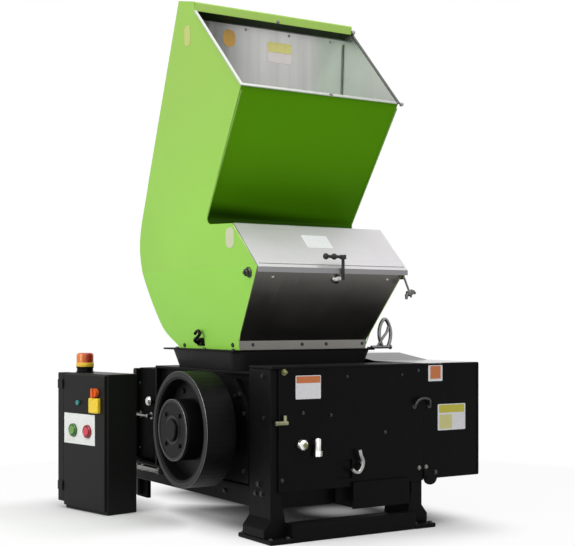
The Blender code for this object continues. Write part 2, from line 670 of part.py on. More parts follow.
def throat():
    """Rectangular neck with round corners, from the deck up to the hopper's flange."""
    outer = rounded(rectangle(-THROAT_HALF_WIDTH - THROAT_WALL, THROAT_FRONT - THROAT_WALL,
                              THROAT_HALF_WIDTH + THROAT_WALL, THROAT_BACK + THROAT_WALL),
                    [THROAT_CORNER + THROAT_WALL] * 4)
    inner = rounded(rectangle(-THROAT_HALF_WIDTH, THROAT_FRONT, THROAT_HALF_WIDTH, THROAT_BACK),
                    [THROAT_CORNER] * 4)
    low, high = DECK_TOP + GAP, FLANGE_BOTTOM - GAP
    neck = plate("throat", [outer, inner], "XY", high - low, (low + high) / 2, BLACK)
    middle_y = (THROAT_FRONT + THROAT_BACK) / 2
    wider_x = 1 + THROAT_SPREAD / THROAT_HALF_WIDTH
    wider_y = 1 + THROAT_SPREAD / (THROAT_BACK - middle_y)
    for vertex in neck.data.vertices:
        if vertex.co.z > (low + high) / 2:
            vertex.co.x *= wider_x
            vertex.co.y = middle_y + (vertex.co.y - middle_y) * wider_y
    flange = rectangle(-FLANGE_HALF_WIDTH, FLANGE_FRONT, FLANGE_HALF_WIDTH, FLANGE_BACK)
    hole = rectangle(-THROAT_HALF_WIDTH + FLANGE_LEDGE, LOWER_FRONT_FOOT[0] + FLANGE_LEDGE,
                     THROAT_HALF_WIDTH - FLANGE_LEDGE, HEEL[0] - FLANGE_LEDGE)
    plate("hopper_flange", [flange, hole], "XY", FLANGE_THICKNESS, FLANGE_BOTTOM + FLANGE_THICKNESS / 2,
          BLACK, 0.001)


def half_width(height):
    """Half the hopper's outer width at a height, along its two straight flares."""
    low, mid, top = HALF_WIDTH_LOW, HALF_WIDTH_MID, HALF_WIDTH_TOP
    start, end = (low, mid) if height < mid[0] else (mid, top)
    share = (height - start[0]) / (end[0] - start[0])
    return start[1] + (end[1] - start[1]) * share


def flare(item):
    """Widen a piece built at unit half width to the hopper's flared sides."""
    work = bmesh.new()
    work.from_mesh(item.data)
    geometry = list(work.verts) + list(work.edges) + list(work.faces)
    bmesh.ops.bisect_plane(work, geom=geometry, dist=0.00001, plane_co=(0, 0, HALF_WIDTH_MID[0]),
                           plane_no=(0, 0, 1))
    for vertex in work.verts:
        sign = 1 if vertex.co.x > 0 else -1
        inset = abs(vertex.co.x) - 1.0
        vertex.co.x = sign * (half_width(vertex.co.z) + inset)
    work.to_mesh(item.data)
    work.free()
    return item


def spline_points(points, count):
    """Points on a smooth curve through the given ones, the ends running straight out."""
    result = []
    spans = len(points) - 1
    extended = [tuple(2 * a - b for a, b in zip(points[0], points[1]))] + list(points)
    extended.append(tuple(2 * a - b for a, b in zip(points[-1], points[-2])))
    for span in range(spans):
        p0, p1, p2, p3 = (Vector(extended[span + k]) for k in range(4))
        for step in range(count):
            t = step / count
            value = 0.5 * (2 * p1 + (p2 - p0) * t + (2 * p0 - 5 * p1 + 4 * p2 - p3) * t * t
                           + (3 * p1 - p0 - 3 * p2 + p3) * t * t * t)
            result.append(tuple(value))
    result.append(tuple(points[-1]))
    return result


def offset_line(points, distance):
    """A line at a distance to the left of an open line."""
    result = []
    for index, point in enumerate(points):
        here = Vector(point)
        before = (here - Vector(points[index - 1])).normalized() if index else None
        after = (Vector(points[index + 1]) - here).normalized() if index < len(points) - 1 else None
        before = before or after
        after = after or before
        normal_a = Vector((-before.y, before.x))
        normal_b = Vector((-after.y, after.x))
        middle = (normal_a + normal_b).normalized()
        result.append(tuple(here + middle * (distance / middle.dot(normal_a))))
    return result


def back_line():
    """The hopper's back from heel to crest: straight foot, round belly, straight upper back."""
    return spline_points([HEEL, BELLY_LOW, BELLY, BELLY_HIGH], 7) + [CREST]


def sheet(name, line, thickness, finish):
    """A bent sheet across the hopper: a side-view line with its thickness to the left."""
    outline = list(line) + offset_line(line, thickness)[::-1]
    item = add_part(name, outline_mesh(name, [outline], "YZ", 2 * (1.0 - SHEET - GAP), 0.0), finish)
    return flare(item)


def hopper():
    """Two flared side plates with bent sheets between them, and the steel frame round the mouth."""
    back = back_line()
    front = rounded([CREST, BROW_TOP, BROW, MOUTH_LOW, NOTCH, LID_HINGE, NOSE, LOWER_FRONT_FOOT, HEEL],
                    [0, BROW_RADIUS, 0, 0, NOTCH_RADIUS, 0, 0, 0, 0])
    outline = back + front[1:-1] + [(LOWER_FRONT_FOOT[0], HOPPER_FOOT)]
    for side, word in ((-1, "left"), (1, "right")):
        name = "hopper_side_" + word
        flare(add_part(name, outline_mesh(name, [outline], "YZ", SHEET, side * (1.0 - SHEET / 2)), GREEN))
    sheet("hopper_back", back, SHEET, GREEN)
    start = Vector(CREST) + (Vector(BROW_TOP) - Vector(CREST)).normalized() * (SHEET + 0.002)
    hood = rounded([tuple(start), BROW_TOP, BROW, CEILING_BACK, GUARD_FOOT],
                   [0, BROW_RADIUS, 0, BROW_RADIUS, 0])
    sheet("hopper_top", hood, SHEET, GREEN)
    front = rounded([MOUTH_LOW, NOTCH, LID_HINGE], [0, NOTCH_RADIUS, 0])
    sheet("hopper_front", front, SHEET, GREEN)
    lower = [NOSE, LOWER_FRONT_FOOT, (LOWER_FRONT_FOOT[0], HOPPER_FOOT)]
    sheet("hopper_lower_front", lower, SHEET, STAINLESS)
    mouth_frame()


def mouth_frame():
    """Flat steel frame on three sides of the mouth's rim, in the plane from the brow to the lower edge."""
    low = Vector((0.0, *MOUTH_LOW))
    high = Vector((0.0, *BROW))
    slope = (high - low).normalized()
    normal = Vector((1, 0, 0)).cross(slope)
    length = (high - low).length
    end = length - TRIM_THICKNESS
    wide_low = half_width(low.z) + TRIM_OUT
    wide_end = wide_low + (half_width(high.z) - half_width(low.z)) * end / length
    frame = [(-wide_low, -TRIM_OUT), (wide_low, -TRIM_OUT), (wide_end, end), (wide_end - TRIM, end),
             (wide_low - TRIM, TRIM - TRIM_OUT), (-wide_low + TRIM, TRIM - TRIM_OUT),
             (-wide_end + TRIM, end), (-wide_end, end)]
    mesh = outline_mesh("mouth_frame", [frame], "XY", TRIM_THICKNESS, 0.0)
    place = Matrix((
        (1, slope.x, normal.x, 0), (0, slope.y, normal.y, 0), (0, slope.z, normal.z, 0), (0, 0, 0, 1)))
    lift = low + normal * (TRIM_THICKNESS / 2 + GAP)
    add_part("mouth_frame", mesh, STAINLESS, Matrix.Translation(lift) @ place)


def lid():
    """Stainless lid of the front feed box, hinged along its top edge, with a star knob."""
    hinge = Vector((0.0, *LID_HINGE))
    nose = Vector((0.0, *NOSE))
    down = (nose - hinge).normalized()
    normal = down.cross(Vector((1, 0, 0)))
    if normal.z < 0:
        normal = -normal
    start = hinge + normal * GAP + down * 0.004
    end = nose + normal * GAP + down * 0.012
    top_start, top_end = start + normal * LID_THICKNESS, end + normal * LID_THICKNESS
    drop = end + Vector((0, 0, -LID_LIP))
    outline = [tuple(v.yz) for v in (start, end, drop, drop + Vector((0, -LID_THICKNESS, 0)),
                                     top_end + Vector((0, -0.002, -0.002)), top_start)]
    width = 2 * (half_width(NOSE[1]) + LID_OVERHANG)
    plate("lid", [outline], "YZ", width, 0.0, STAINLESS)
    lid_knob(end)


def lid_knob(edge):
    """Swing bolt in front of the lid's lip, with a lobed grip that lies on the lid."""
    centre = edge + Vector((LID_KNOB_X, -LID_THICKNESS - LID_BOLT_RADIUS - GAP, 0.0))
    low = centre + Vector((0, 0, -LID_LIP - 0.030))
    high = centre + Vector((0, 0, 0.056))
    bolt = cylinder_mesh("lid_knob", LID_BOLT_RADIUS, (high - low).length, 16)
    knob = add_part("lid_knob", bolt, CAST, Matrix.Translation((low + high) / 2))
    hub = bpy.data.objects.new("hub", cylinder_mesh("hub", 0.016, 0.020, 16))
    hub.matrix_world = Matrix.Translation(high)
    combine(knob, as_cutter(hub), "UNION")
    arm = bpy.data.objects.new("arm", cylinder_mesh("arm", 0.0075, LID_GRIP_REACH, 12))
    arm.matrix_world = Matrix.Translation(high + Vector((-LID_GRIP_REACH / 2, 0, 0.001))) @ along("X")
    combine(knob, as_cutter(arm), "UNION")
    for share in (0.52, 1.0):
        ball = bpy.data.meshes.new("lobe")
        work = bmesh.new()
        bmesh.ops.create_icosphere(work, subdivisions=2, radius=LID_LOBE_RADIUS)
        work.to_mesh(ball)
        work.free()
        lobe = bpy.data.objects.new("lobe", ball)
        lobe.matrix_world = Matrix.Translation(high + Vector((-LID_GRIP_REACH * share, 0, 0.001)))
        combine(knob, as_cutter(lobe), "UNION")


def front_fittings():
    """Ball knob, swing bolt, clamp bolt and bent lever on the front panel."""
    r = KNOB_RADIUS
    profile = [(0.0, 0.040), (r * 0.45, 0.038), (r * 0.85, 0.029), (r, 0.018), (r * 0.85, 0.009),
               (r * 0.5, 0.005), (r * 0.8, 0.005), (r * 0.8, 0.0), (0.0, 0.0)]
    turned("panel_knob", profile, (KNOB_X, -GAP, KNOB_Z), "-Y", STEEL, closed=False, steps=24)
    nut_radius = BOLT_RADIUS * 1.4
    bolt_y = -GAP - nut_radius - 0.002
    bolt = cylinder("panel_bolt", (BOLT_X, bolt_y, (BOLT_LOW + BOLT_HIGH) / 2), BOLT_RADIUS,
                    BOLT_HIGH - BOLT_LOW, "Z", STEEL, 20, 0.003)
    nut = cylinder_cutter("nut", (BOLT_X, bolt_y, BOLT_LOW + 0.016), nut_radius, 0.024, "Z", 6)
    combine(bolt, nut, "UNION")
    lug = box_cutter("lug", (BOLT_X - 0.008, bolt_y, BOLT_HIGH - 0.030),
                     (BOLT_X + 0.008, -GAP, BOLT_HIGH - 0.010))
    combine(bolt, lug, "UNION")
    clamp_y = -GAP - 0.015
    clamp = cylinder("panel_clamp", ((CLAMP_LEFT + CLAMP_RIGHT) / 2, clamp_y, CLAMP_Z), 0.011,
                     CLAMP_RIGHT - CLAMP_LEFT, "X", STEEL, 20, 0.003)
    stem = cylinder_cutter("stem", (CLAMP_RIGHT - 0.014, clamp_y, CLAMP_Z + 0.016), 0.008, 0.036, "Z", 16)
    combine(clamp, stem, "UNION")
    lug = box_cutter("lug", (CLAMP_RIGHT - 0.024, clamp_y, CLAMP_Z - 0.008),
                     (CLAMP_RIGHT - 0.008, -GAP, CLAMP_Z + 0.008))
    combine(clamp, lug, "UNION")
    bin_lever()


def bin_lever():
    """Round bar bent to a hook, standing off the panel on a stub."""
    y = -GAP - LEVER_STAND_OFF - LEVER_RADIUS
    x = BIN_LEFT
    points = [(x + 0.026, y, 0.394), (x + 0.033, y, 0.367), (x + 0.045, y, 0.341), (x + 0.040, y, 0.313),
              (x + 0.022, y, 0.291), (x - 0.001, y, 0.293), (x - 0.018, y, 0.308)]
    curve = bpy.data.curves.new("bin_lever", "CURVE")
    curve.dimensions = "3D"
    curve.bevel_depth = LEVER_RADIUS
    curve.bevel_resolution = 3
    curve.use_fill_caps = True
    spline = curve.splines.new("POLY")
    smooth = spline_points(points, 3)
    spline.points.add(len(smooth) - 1)
    for point, place in zip(spline.points, smooth):
        point.co = (*place, 1.0)
    holder = bpy.data.objects.new("bin_lever_curve", curve)
    bpy.context.scene.collection.objects.link(holder)
    bpy.context.view_layer.update()
    mesh = bpy.data.meshes.new_from_object(holder.evaluated_get(bpy.context.evaluated_depsgraph_get()))
    bpy.data.objects.remove(holder)
    bpy.data.curves.remove(curve)
    work = bmesh.new()
    work.from_mesh(mesh)
    bmesh.ops.remove_doubles(work, verts=work.verts, dist=0.00001)
    bmesh.ops.recalc_face_normals(work, faces=work.faces)
    work.to_mesh(mesh)
    work.free()
    lever = add_part("bin_lever", mesh, STEEL)
    stub = cylinder_cutter("stub", (x + 0.044, y / 2 - GAP / 2, 0.335), 0.012, -y - GAP, "Y", 16)
    combine(lever, stub, "UNION")


def bin_group():
    """Open-topped bin with side flanges that hang in two angle runners under the floor plate."""
    back = PANEL_THICKNESS + BIN_DEPTH
    low, high = (BIN_LEFT + RUNNER_WALL + BIN_FLANGE + 0.004, BIN_RIGHT - RUNNER_WALL - BIN_FLANGE - 0.004)
    front_y = -GAP
    bin_body = box("granulate_bin", (low, front_y - 0.002, BIN_BOTTOM), (high, back, BIN_TOP), BLACK)
    flange = box_cutter("bin_flange", (BIN_LEFT + RUNNER_WALL + 0.002, LEG_BACK, BIN_TOP - 0.003),
                        (BIN_RIGHT - RUNNER_WALL - 0.002, back, BIN_TOP))
    combine(bin_body, flange, "UNION")
    hollow = box_cutter("bin_hollow", (low + BIN_WALL, front_y + BIN_WALL + 0.004, BIN_BOTTOM + BIN_WALL),
                        (high - BIN_WALL, back - BIN_WALL, BIN_TOP + 0.05))
    combine(bin_body, hollow, "DIFFERENCE")
    face = box_cutter("bin_face", (BIN_LEFT, front_y - BIN_FRONT_THICKNESS, BIN_BOTTOM),
                      (BIN_RIGHT, front_y, BIN_FRONT_TOP))
    combine(bin_body, face, "UNION")
    under = PANEL_BOTTOM - GAP
    lip = BIN_TOP - 0.003 - GAP
    for word, web, inward in (("left", BIN_LEFT, 1), ("right", BIN_RIGHT, -1)):
        tip = web + inward * (RUNNER_WALL + BIN_FLANGE)
        inner = web + inward * RUNNER_WALL
        outline = [(web, under), (web, lip - RUNNER_WALL), (tip, lip - RUNNER_WALL), (tip, lip),
                   (inner, lip), (inner, under)]
        plate("bin_runner_" + word, [outline], "XZ", back - LEG_BACK - 0.01, -(back + LEG_BACK) / 2, BLACK)


def cabinet_group():
    """Upright control cabinet with its door, buttons, switch, lamp and warning beacon."""
    place = Matrix.Translation((*CABINET_CORNER, 0.0)) @ Matrix.Rotation(CABINET_TURN, 4, "Z")

    def settle(item):
        item.matrix_world = place @ item.matrix_world
        return item

    front = DOOR_THICKNESS + GAP
    settle(box("cabinet", (front, 0.0, 0.0), (CABINET_DEPTH, CABINET_WIDTH, CABINET_HEIGHT), BLACK, 0.004))
    door = settle(box("cabinet_door", (0.0, DOOR_REVEAL, CABINET_BASE),
                      (DOOR_THICKNESS, CABINET_WIDTH - DOOR_REVEAL, CABINET_HEIGHT - DOOR_REVEAL), BLACK,
                      0.003, 2))
    post_y = CABINET_WIDTH + GAP
    settle(box("hinge_post", (0.004, post_y, HINGE_POST_BOTTOM),
               (HINGE_POST_DEPTH, post_y + HINGE_POST_WIDTH, CABINET_HEIGHT), BLACK, 0.003))
    for word, height in zip(("lower", "upper"), DOOR_HINGE_HEIGHTS):
        low, high = height - KNUCKLE_HEIGHT / 2, height + KNUCKLE_HEIGHT / 2
        leaf = settle(box("door_hinge_" + word, (-0.0005, DOOR_HINGE_Y + 0.004, low),
                          (0.004 - GAP, post_y + HINGE_POST_WIDTH - 0.004, high), STEEL))
        knuckle = settle(cylinder_cutter("knuckle", (DOOR_HINGE_X + 0.002, DOOR_HINGE_Y + 0.004, height),
                                         KNUCKLE_RADIUS, KNUCKLE_HEIGHT + 0.002, "Z", 12))
        combine(leaf, knuckle, "UNION")
    buttons(settle)
    near, far, low, high = SWITCH_BASE
    settle(box("switch_base", (-SWITCH_BASE_DEPTH, near, low), (-GAP, far, high), YELLOW, 0.004))
    switch = settle(cylinder("main_switch", (-GAP - SWITCH_DEPTH / 2, SWITCH_Y, SWITCH_Z), SWITCH_RADIUS,
                             SWITCH_DEPTH, "X", RED, 24))
    low, high = SWITCH_Z - SWITCH_RADIUS, SWITCH_Z + SWITCH_RADIUS
    grip = settle(box_cutter("switch_grip", (-SWITCH_DEPTH - 0.012, SWITCH_Y - 0.006, low),
                             (-SWITCH_DEPTH + 0.004, SWITCH_Y + 0.006, high)))
    combine(switch, grip, "UNION")
    settle(cylinder("lamp", (-GAP - 0.005, LAMP_Y, LAMP_Z), LAMP_RADIUS, 0.010, "X", TEAL, 20))
    beacon_x = CABINET_DEPTH / 2
    base_low = CABINET_HEIGHT + GAP
    base_high = base_low + BEACON_BASE_HEIGHT
    top = CABINET_HEIGHT + BEACON_HEIGHT
    r = BEACON_RADIUS
    base = [(0.0, base_high), (r - 0.004, base_high), (r - 0.004, base_high - 0.010),
            (r, base_high - 0.014), (r, base_low), (0.0, base_low)]
    settle(turned("beacon_base", base, (beacon_x, BEACON_Y, 0.0), "Z", BLACK, closed=False, steps=28))
    low = base_high + GAP
    lens = [(0.0, top), (r - 0.014, top), (r - 0.006, top - 0.004), (r - 0.003, top - 0.012),
            (r - 0.002, low + 0.020), (r, low + 0.019), (r, low), (0.0, low)]
    settle(turned("beacon_lens", lens, (beacon_x, BEACON_Y, 0.0), "Z", ORANGE, closed=False, steps=28))
    return door


def buttons(settle):
    """White plate with two bezel rings, and a push button sliding in each ring."""
    near, far, low, high = BUTTON_PLATE
    bore = BUTTON_RADIUS + 0.0008
    holes = [circle(START_Y, BUTTON_HEIGHT, bore, 28), circle(STOP_Y, BUTTON_HEIGHT, bore, 28)]
    panel = settle(plate("button_plate", [rectangle(near, low, far, high)] + holes, "YZ",
                         BUTTON_PLATE_THICKNESS, -GAP - BUTTON_PLATE_THICKNESS / 2, WHITE))
    back = -GAP - BUTTON_PLATE_THICKNESS / 2
    for y in (START_Y, STOP_Y):
        rings = [circle(y, BUTTON_HEIGHT, BEZEL_RADIUS, 28), circle(y, BUTTON_HEIGHT, bore, 28)]
        ring = outline_mesh("bezel", rings, "YZ", BEZEL_HEIGHT, back - BEZEL_HEIGHT / 2)
        combine(panel, settle(as_cutter(bpy.data.objects.new("bezel", ring))), "UNION")
    rear = -GAP - BUTTON_TRAVEL - 0.001
    length = BEZEL_HEIGHT + 0.003
    for name, y, finish in (("start_button", START_Y, GREEN_PLASTIC), ("stop_button", STOP_Y, RED)):
        centre = (rear - length / 2, y, BUTTON_HEIGHT)
        settle(cylinder(name, centre, BUTTON_RADIUS, length, "X", finish, 28, 0.002))


front_legs()
base_frame()
body_shell()
cutting_chamber()
rotor_group()
bearing_group()
guard_and_motor()
throat()
hopper()
lid()
front_fittings()
bin_group()
cabinet_group()
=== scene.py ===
from math import copysign, cos, pi, radians, sin

import bmesh
import bpy
from mathutils import Matrix, Vector
from mathutils.bvhtree import BVHTree


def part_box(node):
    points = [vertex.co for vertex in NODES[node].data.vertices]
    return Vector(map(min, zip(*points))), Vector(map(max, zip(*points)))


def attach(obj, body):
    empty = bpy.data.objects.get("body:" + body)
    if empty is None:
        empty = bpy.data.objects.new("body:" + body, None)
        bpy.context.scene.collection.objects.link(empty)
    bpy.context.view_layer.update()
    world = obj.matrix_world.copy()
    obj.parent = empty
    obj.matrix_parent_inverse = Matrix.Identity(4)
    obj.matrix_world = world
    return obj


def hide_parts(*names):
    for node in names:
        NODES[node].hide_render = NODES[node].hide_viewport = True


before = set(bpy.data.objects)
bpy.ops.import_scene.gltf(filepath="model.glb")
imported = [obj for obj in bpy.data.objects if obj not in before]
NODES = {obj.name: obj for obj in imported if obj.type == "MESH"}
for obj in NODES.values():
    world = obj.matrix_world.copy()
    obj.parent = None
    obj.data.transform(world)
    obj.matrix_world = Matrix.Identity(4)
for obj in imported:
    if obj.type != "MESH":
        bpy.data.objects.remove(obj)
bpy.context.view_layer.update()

FRONT = (0.0, -1.0, 0.0)
REAR = (0.0, 1.0, 0.0)
LEFT = (-1.0, 0.0, 0.0)
RIGHT = (1.0, 0.0, 0.0)
UP = (0.0, 0.0, 1.0)
DOWN = (0.0, 0.0, -1.0)

# The rotor's axis, the height where the hopper's sides bend, its half width at three heights

SHAFT_Y = 0.48
SHAFT_Z = 0.4816
CREASE = 1.25
WIDTHS = ((0.8533, 0.37), (CREASE, 0.425), (2.6, 0.474))


# Camera, lamps and surroundings

def placed(name, data):
    item = bpy.data.objects.new(name, data)
    bpy.context.scene.collection.objects.link(item)
    return item


def camera():
    data = bpy.data.cameras.new("camera")
    data.lens = 75.93
    data.sensor_width = 36.0
    data.shift_y = 0.0806
    item = placed("camera", data)
    item.location = (-3.2736, -4.5986, 1.0)
    item.rotation_euler = (radians(90), 0.0, radians(-32.4616))
    bpy.context.scene.camera = item


def lamp(name, location, target, size, power):
    data = bpy.data.lights.new(name, "AREA")
    data.shape = "RECTANGLE"
    data.size, data.size_y = size
    data.energy = power
    item = placed(name, data)
    item.location = location
    item.rotation_euler = (Vector(target) - Vector(location)).to_track_quat("-Z", "Y").to_euler()


def add(tree, kind, inputs=None, **settings):
    """A shader node; each input is a value or another node's output."""
    item = tree.nodes.new("ShaderNode" + kind)
    for key, value in settings.items():
        setattr(item, key, value)
    for key, value in (inputs or {}).items():
        if isinstance(value, bpy.types.NodeSocket):
            tree.links.new(value, item.inputs[key])
        else:
            item.inputs[key].default_value = value
    return item


def calc(tree, first, second, operation="MULTIPLY"):
    return add(tree, "Math", {0: first, 1: second}, operation=operation).outputs[0]


def parts(tree, vector):
    return add(tree, "SeparateXYZ", {0: vector}).outputs


def hypot(tree, first, second):
    squares = [calc(tree, value, 2.0, "POWER") for value in (first, second)]
    return calc(tree, calc(tree, *squares, "ADD"), 0.5, "POWER")


def seen_directly(tree):
    """1 for camera, glossy and transmission rays, 0 for the rays that light other things."""
    path = add(tree, "LightPath").outputs
    first = calc(tree, path["Is Camera Ray"], path["Is Glossy Ray"], "MAXIMUM")
    return calc(tree, first, path["Is Transmission Ray"], "MAXIMUM")


def surroundings(strength):
    world = bpy.data.worlds.new("world")
    world.use_nodes = True
    tree = world.node_tree
    level = add(tree, "MapRange", {0: seen_directly(tree), 3: strength, 4: 1.0}).outputs[0]
    background = tree.nodes["Background"]
    background.inputs[0].default_value = (1.0, 1.0, 1.0, 1.0)
    tree.links.new(level, background.inputs[1])
    bpy.context.scene.world = world


def outside(tree, place, centre, half):
    """How far a point on the floor lies outside a rectangle."""
    overs = []
    for axis in (0, 1):
        offset = calc(tree, parts(tree, place)[axis], centre[axis], "SUBTRACT")
        over = calc(tree, calc(tree, offset, 0.0, "ABSOLUTE"), half[axis], "SUBTRACT")
        overs.append(calc(tree, over, 0.0, "MAXIMUM"))
    return hypot(tree, *overs)


def floor():
    """Pale ground that darkens only near the body, the motor housing and the cabinet; from a few
    centimetres out, emission mixed in fades the real shadow to white as painted light, and one round spot
    under the body is painted light too.
    """
    mesh = bpy.data.meshes.new("floor")
    work = bmesh.new()
    bmesh.ops.create_grid(work, x_segments=2, y_segments=2, size=40.0)
    work.to_mesh(mesh)
    work.free()
    item = placed("floor", mesh)
    item.location.z = -0.0005
    material = bpy.data.materials.new("floor")
    material.use_nodes = True
    tree = material.node_tree
    tree.nodes.clear()
    seen = seen_directly(tree)
    place = add(tree, "TexCoord").outputs["Object"]
    front = outside(tree, place, (0.12, 0.42), (0.34, 0.5))
    rear = outside(tree, place, (0.33, 1.25), (0.17, 0.36))
    body = calc(tree, front, rear, "MINIMUM")
    cabinet = outside(tree, place, (-0.87, 1.18), (0.2, 0.32))
    away = calc(tree, body, cabinet, "MINIMUM")
    # Emission mixed in from 5 to 46 cm outside the footprints: painted light over the real shadow.
    painted_light_lift = ramp(tree, away, 0.05, 0.46, 0.0, 0.92, True)
    wide, painted_light_spot_distance = [add(tree, "VectorMath", {0: place, 1: spot}, operation="DISTANCE").outputs["Value"]
                   for spot in ((0.0, 0.7, 0.0), (0.34, 0.6, 0.0))]
    # A round spot of painted light on the floor under the body.
    painted_light_lift = calc(tree, painted_light_lift, ramp(tree, painted_light_spot_distance, 0.03, 0.24, 0.22, 0.0, True), "MAXIMUM")
    far = calc(tree, painted_light_lift, ramp(tree, wide, 1.2, 3.0, 0.0, 1.0, True), "MAXIMUM")
    near = add(tree, "BsdfDiffuse", {"Color": (0.82, 0.82, 0.82, 1.0)}).outputs[0]
    white = add(tree, "Emission", {"Color": (1.0, 1.0, 1.0, 1.0), "Strength": 1.0}).outputs[0]
    shown = add(tree, "MixShader", {0: far, 1: near, 2: white}).outputs[0]
    bounce = add(tree, "BsdfDiffuse", {"Color": (0.3, 0.3, 0.3, 1.0)}).outputs[0]
    mixed = add(tree, "MixShader", {0: seen, 1: bounce, 2: shown}).outputs[0]
    out = add(tree, "OutputMaterial")
    tree.links.new(mixed, out.inputs["Surface"])
    mesh.materials.append(material)


# Materials

def surface(name, colour, roughness, metallic=0.0, specular=0.5):
    material = bpy.data.materials.new(name)
    material.use_nodes = True
    tree = material.node_tree
    shader = tree.nodes["Principled BSDF"]
    values = {"Base Color": (*colour, 1.0), "Roughness": roughness, "Metallic": metallic,
              "Specular IOR Level": specular}
    for key, value in values.items():
        shader.inputs[key].default_value = value
    place = add(tree, "TexCoord").outputs["Object"]
    return material, tree, shader, place


def noise(tree, place, scale, detail, rough=0.5):
    inputs = {"Vector": place, "Scale": scale, "Detail": detail, "Roughness": rough}
    return add(tree, "TexNoise", inputs).outputs[0]


def streaks(tree, place, stretch, detail):
    """Noise drawn out along an axis."""
    moved = add(tree, "Mapping", {"Vector": place, "Scale": stretch}).outputs[0]
    return noise(tree, moved, 1.0, detail, 0.6)


def ramp(tree, value, low, high, start=0.0, end=1.0, smooth=False):
    kind = "SMOOTHSTEP" if smooth else "LINEAR"
    inputs = {0: value, 1: low, 2: high, 3: start, 4: end}
    return add(tree, "MapRange", inputs, interpolation_type=kind).outputs[0]


def blend(tree, share, *colours):
    """Two colours mixed by a share; each may be a value or another node's output."""
    first, second = [item if isinstance(item, bpy.types.NodeSocket) else (*item, 1.0) for item in colours]
    return add(tree, "Mix", {0: share, 6: first, 7: second}, data_type="RGBA").outputs[2]

def link(tree, shader, colour, roughness, normal, metallic=None):
    sockets = {"Base Color": colour, "Roughness": roughness, "Normal": normal, "Metallic": metallic}
    for key, value in sockets.items():
        if value is not None:
            tree.links.new(value, shader.inputs[key])


def bumps(tree, layers):
    """Bump nodes one on the other: (height, strength, distance) each."""
    normal = None
    for height, strength, distance in layers:
        inputs = {"Height": height, "Strength": strength, "Distance": distance}
        if normal is not None:
            inputs["Normal"] = normal
        normal = add(tree, "Bump", inputs).outputs[0]
    return normal


def scaled(colour, factor):
    return tuple(channel * factor for channel in colour)


def coat(name, colour, roughness, specular, grain=420.0, dust=0.06, flat_top=None):
    """Powder coat with orange peel, the waves of sheet metal, faint patches, dust and rubbed streaks."""
    material, tree, shader, place = surface(name, colour, roughness, 0.0, specular)
    patches = ramp(tree, noise(tree, place, 2.3, 4.0), 0.35, 0.65)
    fine = noise(tree, place, 26.0, 5.0, 0.6)
    rubbed = ramp(tree, streaks(tree, place, (9.0, 9.0, 60.0), 5.0), 0.6, 0.78)
    wear_and_sheen = calc(tree, rubbed, 0.2)
    base = blend(tree, patches, scaled(colour, 0.93), scaled(colour, 1.07))
    lighter = tuple(channel + 0.02 for channel in colour)
    for share in (calc(tree, ramp(tree, fine, 0.45, 0.75), dust), calc(tree, wear_and_sheen, 0.5)):
        base = blend(tree, share, base, lighter)
    level = ramp(tree, fine, 0.3, 0.7, roughness - 0.04, roughness + 0.05)
    level = calc(tree, level, calc(tree, wear_and_sheen, 0.18), "ADD")
    if flat_top is not None:
        smooth = calc(tree, facing_mask(tree, 2, 1, 0.9), roughness - flat_top)
        level = calc(tree, level, smooth, "SUBTRACT")
    layers = [(noise(tree, place, 3.2, 1.0), 0.12, 0.004), (noise(tree, place, grain, 2.0), 0.1, 0.0006)]
    link(tree, shader, base, level, bumps(tree, layers))
    return material


def brushed_metal(tree, place, stretch, colour, roughness):
    """Colour, roughness and height outputs of sheet steel with a brushed grain."""
    grain = streaks(tree, place, stretch, 6.0)
    patches = noise(tree, place, 5.0, 4.0)
    base = blend(tree, ramp(tree, grain, 0.3, 0.7), scaled(colour, 0.95), scaled(colour, 1.03))
    base = blend(tree, ramp(tree, patches, 0.35, 0.75, 0.0, 0.35), base, scaled(colour, 0.84))
    level = ramp(tree, grain, 0.3, 0.7, roughness - 0.05, roughness + 0.07)
    level = calc(tree, level, ramp(tree, patches, 0.4, 0.7, 0.0, 0.07), "ADD")
    return base, level, grain


def stainless(name, colour, roughness, stretch=(3.0, 240.0, 240.0), painted_shade_lip=None, painted_shade_right_bar=None):
    """Brushed sheet; one share darkens its steep faces and another the frame's right bar, both painted
    shade on faces turned from the light.
    """
    material, tree, shader, place = surface(name, colour, roughness, 1.0)
    base, level, grain = brushed_metal(tree, place, stretch, colour, roughness)
    # The frame's right bar painted darker: painted shade.
    if painted_shade_right_bar is not None:
        right = calc(tree, parts(tree, place)[0], 0.44, "GREATER_THAN")
        base = blend(tree, right, base, scaled(colour, painted_shade_right_bar))
    # Steep faces painted darker: painted shade.
    if painted_shade_lip is not None:
        steep = calc(tree, 1.0, facing_mask(tree, 2, 1, 0.66), "SUBTRACT")
        base = blend(tree, steep, base, scaled(colour, painted_shade_lip))
    waves = noise(tree, place, 4.0, 1.0)
    normal = bumps(tree, [(waves, 0.1, 0.003), (grain, 0.012, 0.0002)])
    link(tree, shader, base, level, normal)
    return material


def facing_mask(tree, axis, sign, threshold):
    """1 where the CAD face's own normal points along an axis by more than the threshold."""
    normal = add(tree, "TexCoord").outputs["Normal"]
    signed = calc(tree, parts(tree, normal)[axis], float(sign))
    return calc(tree, signed, threshold, "GREATER_THAN")


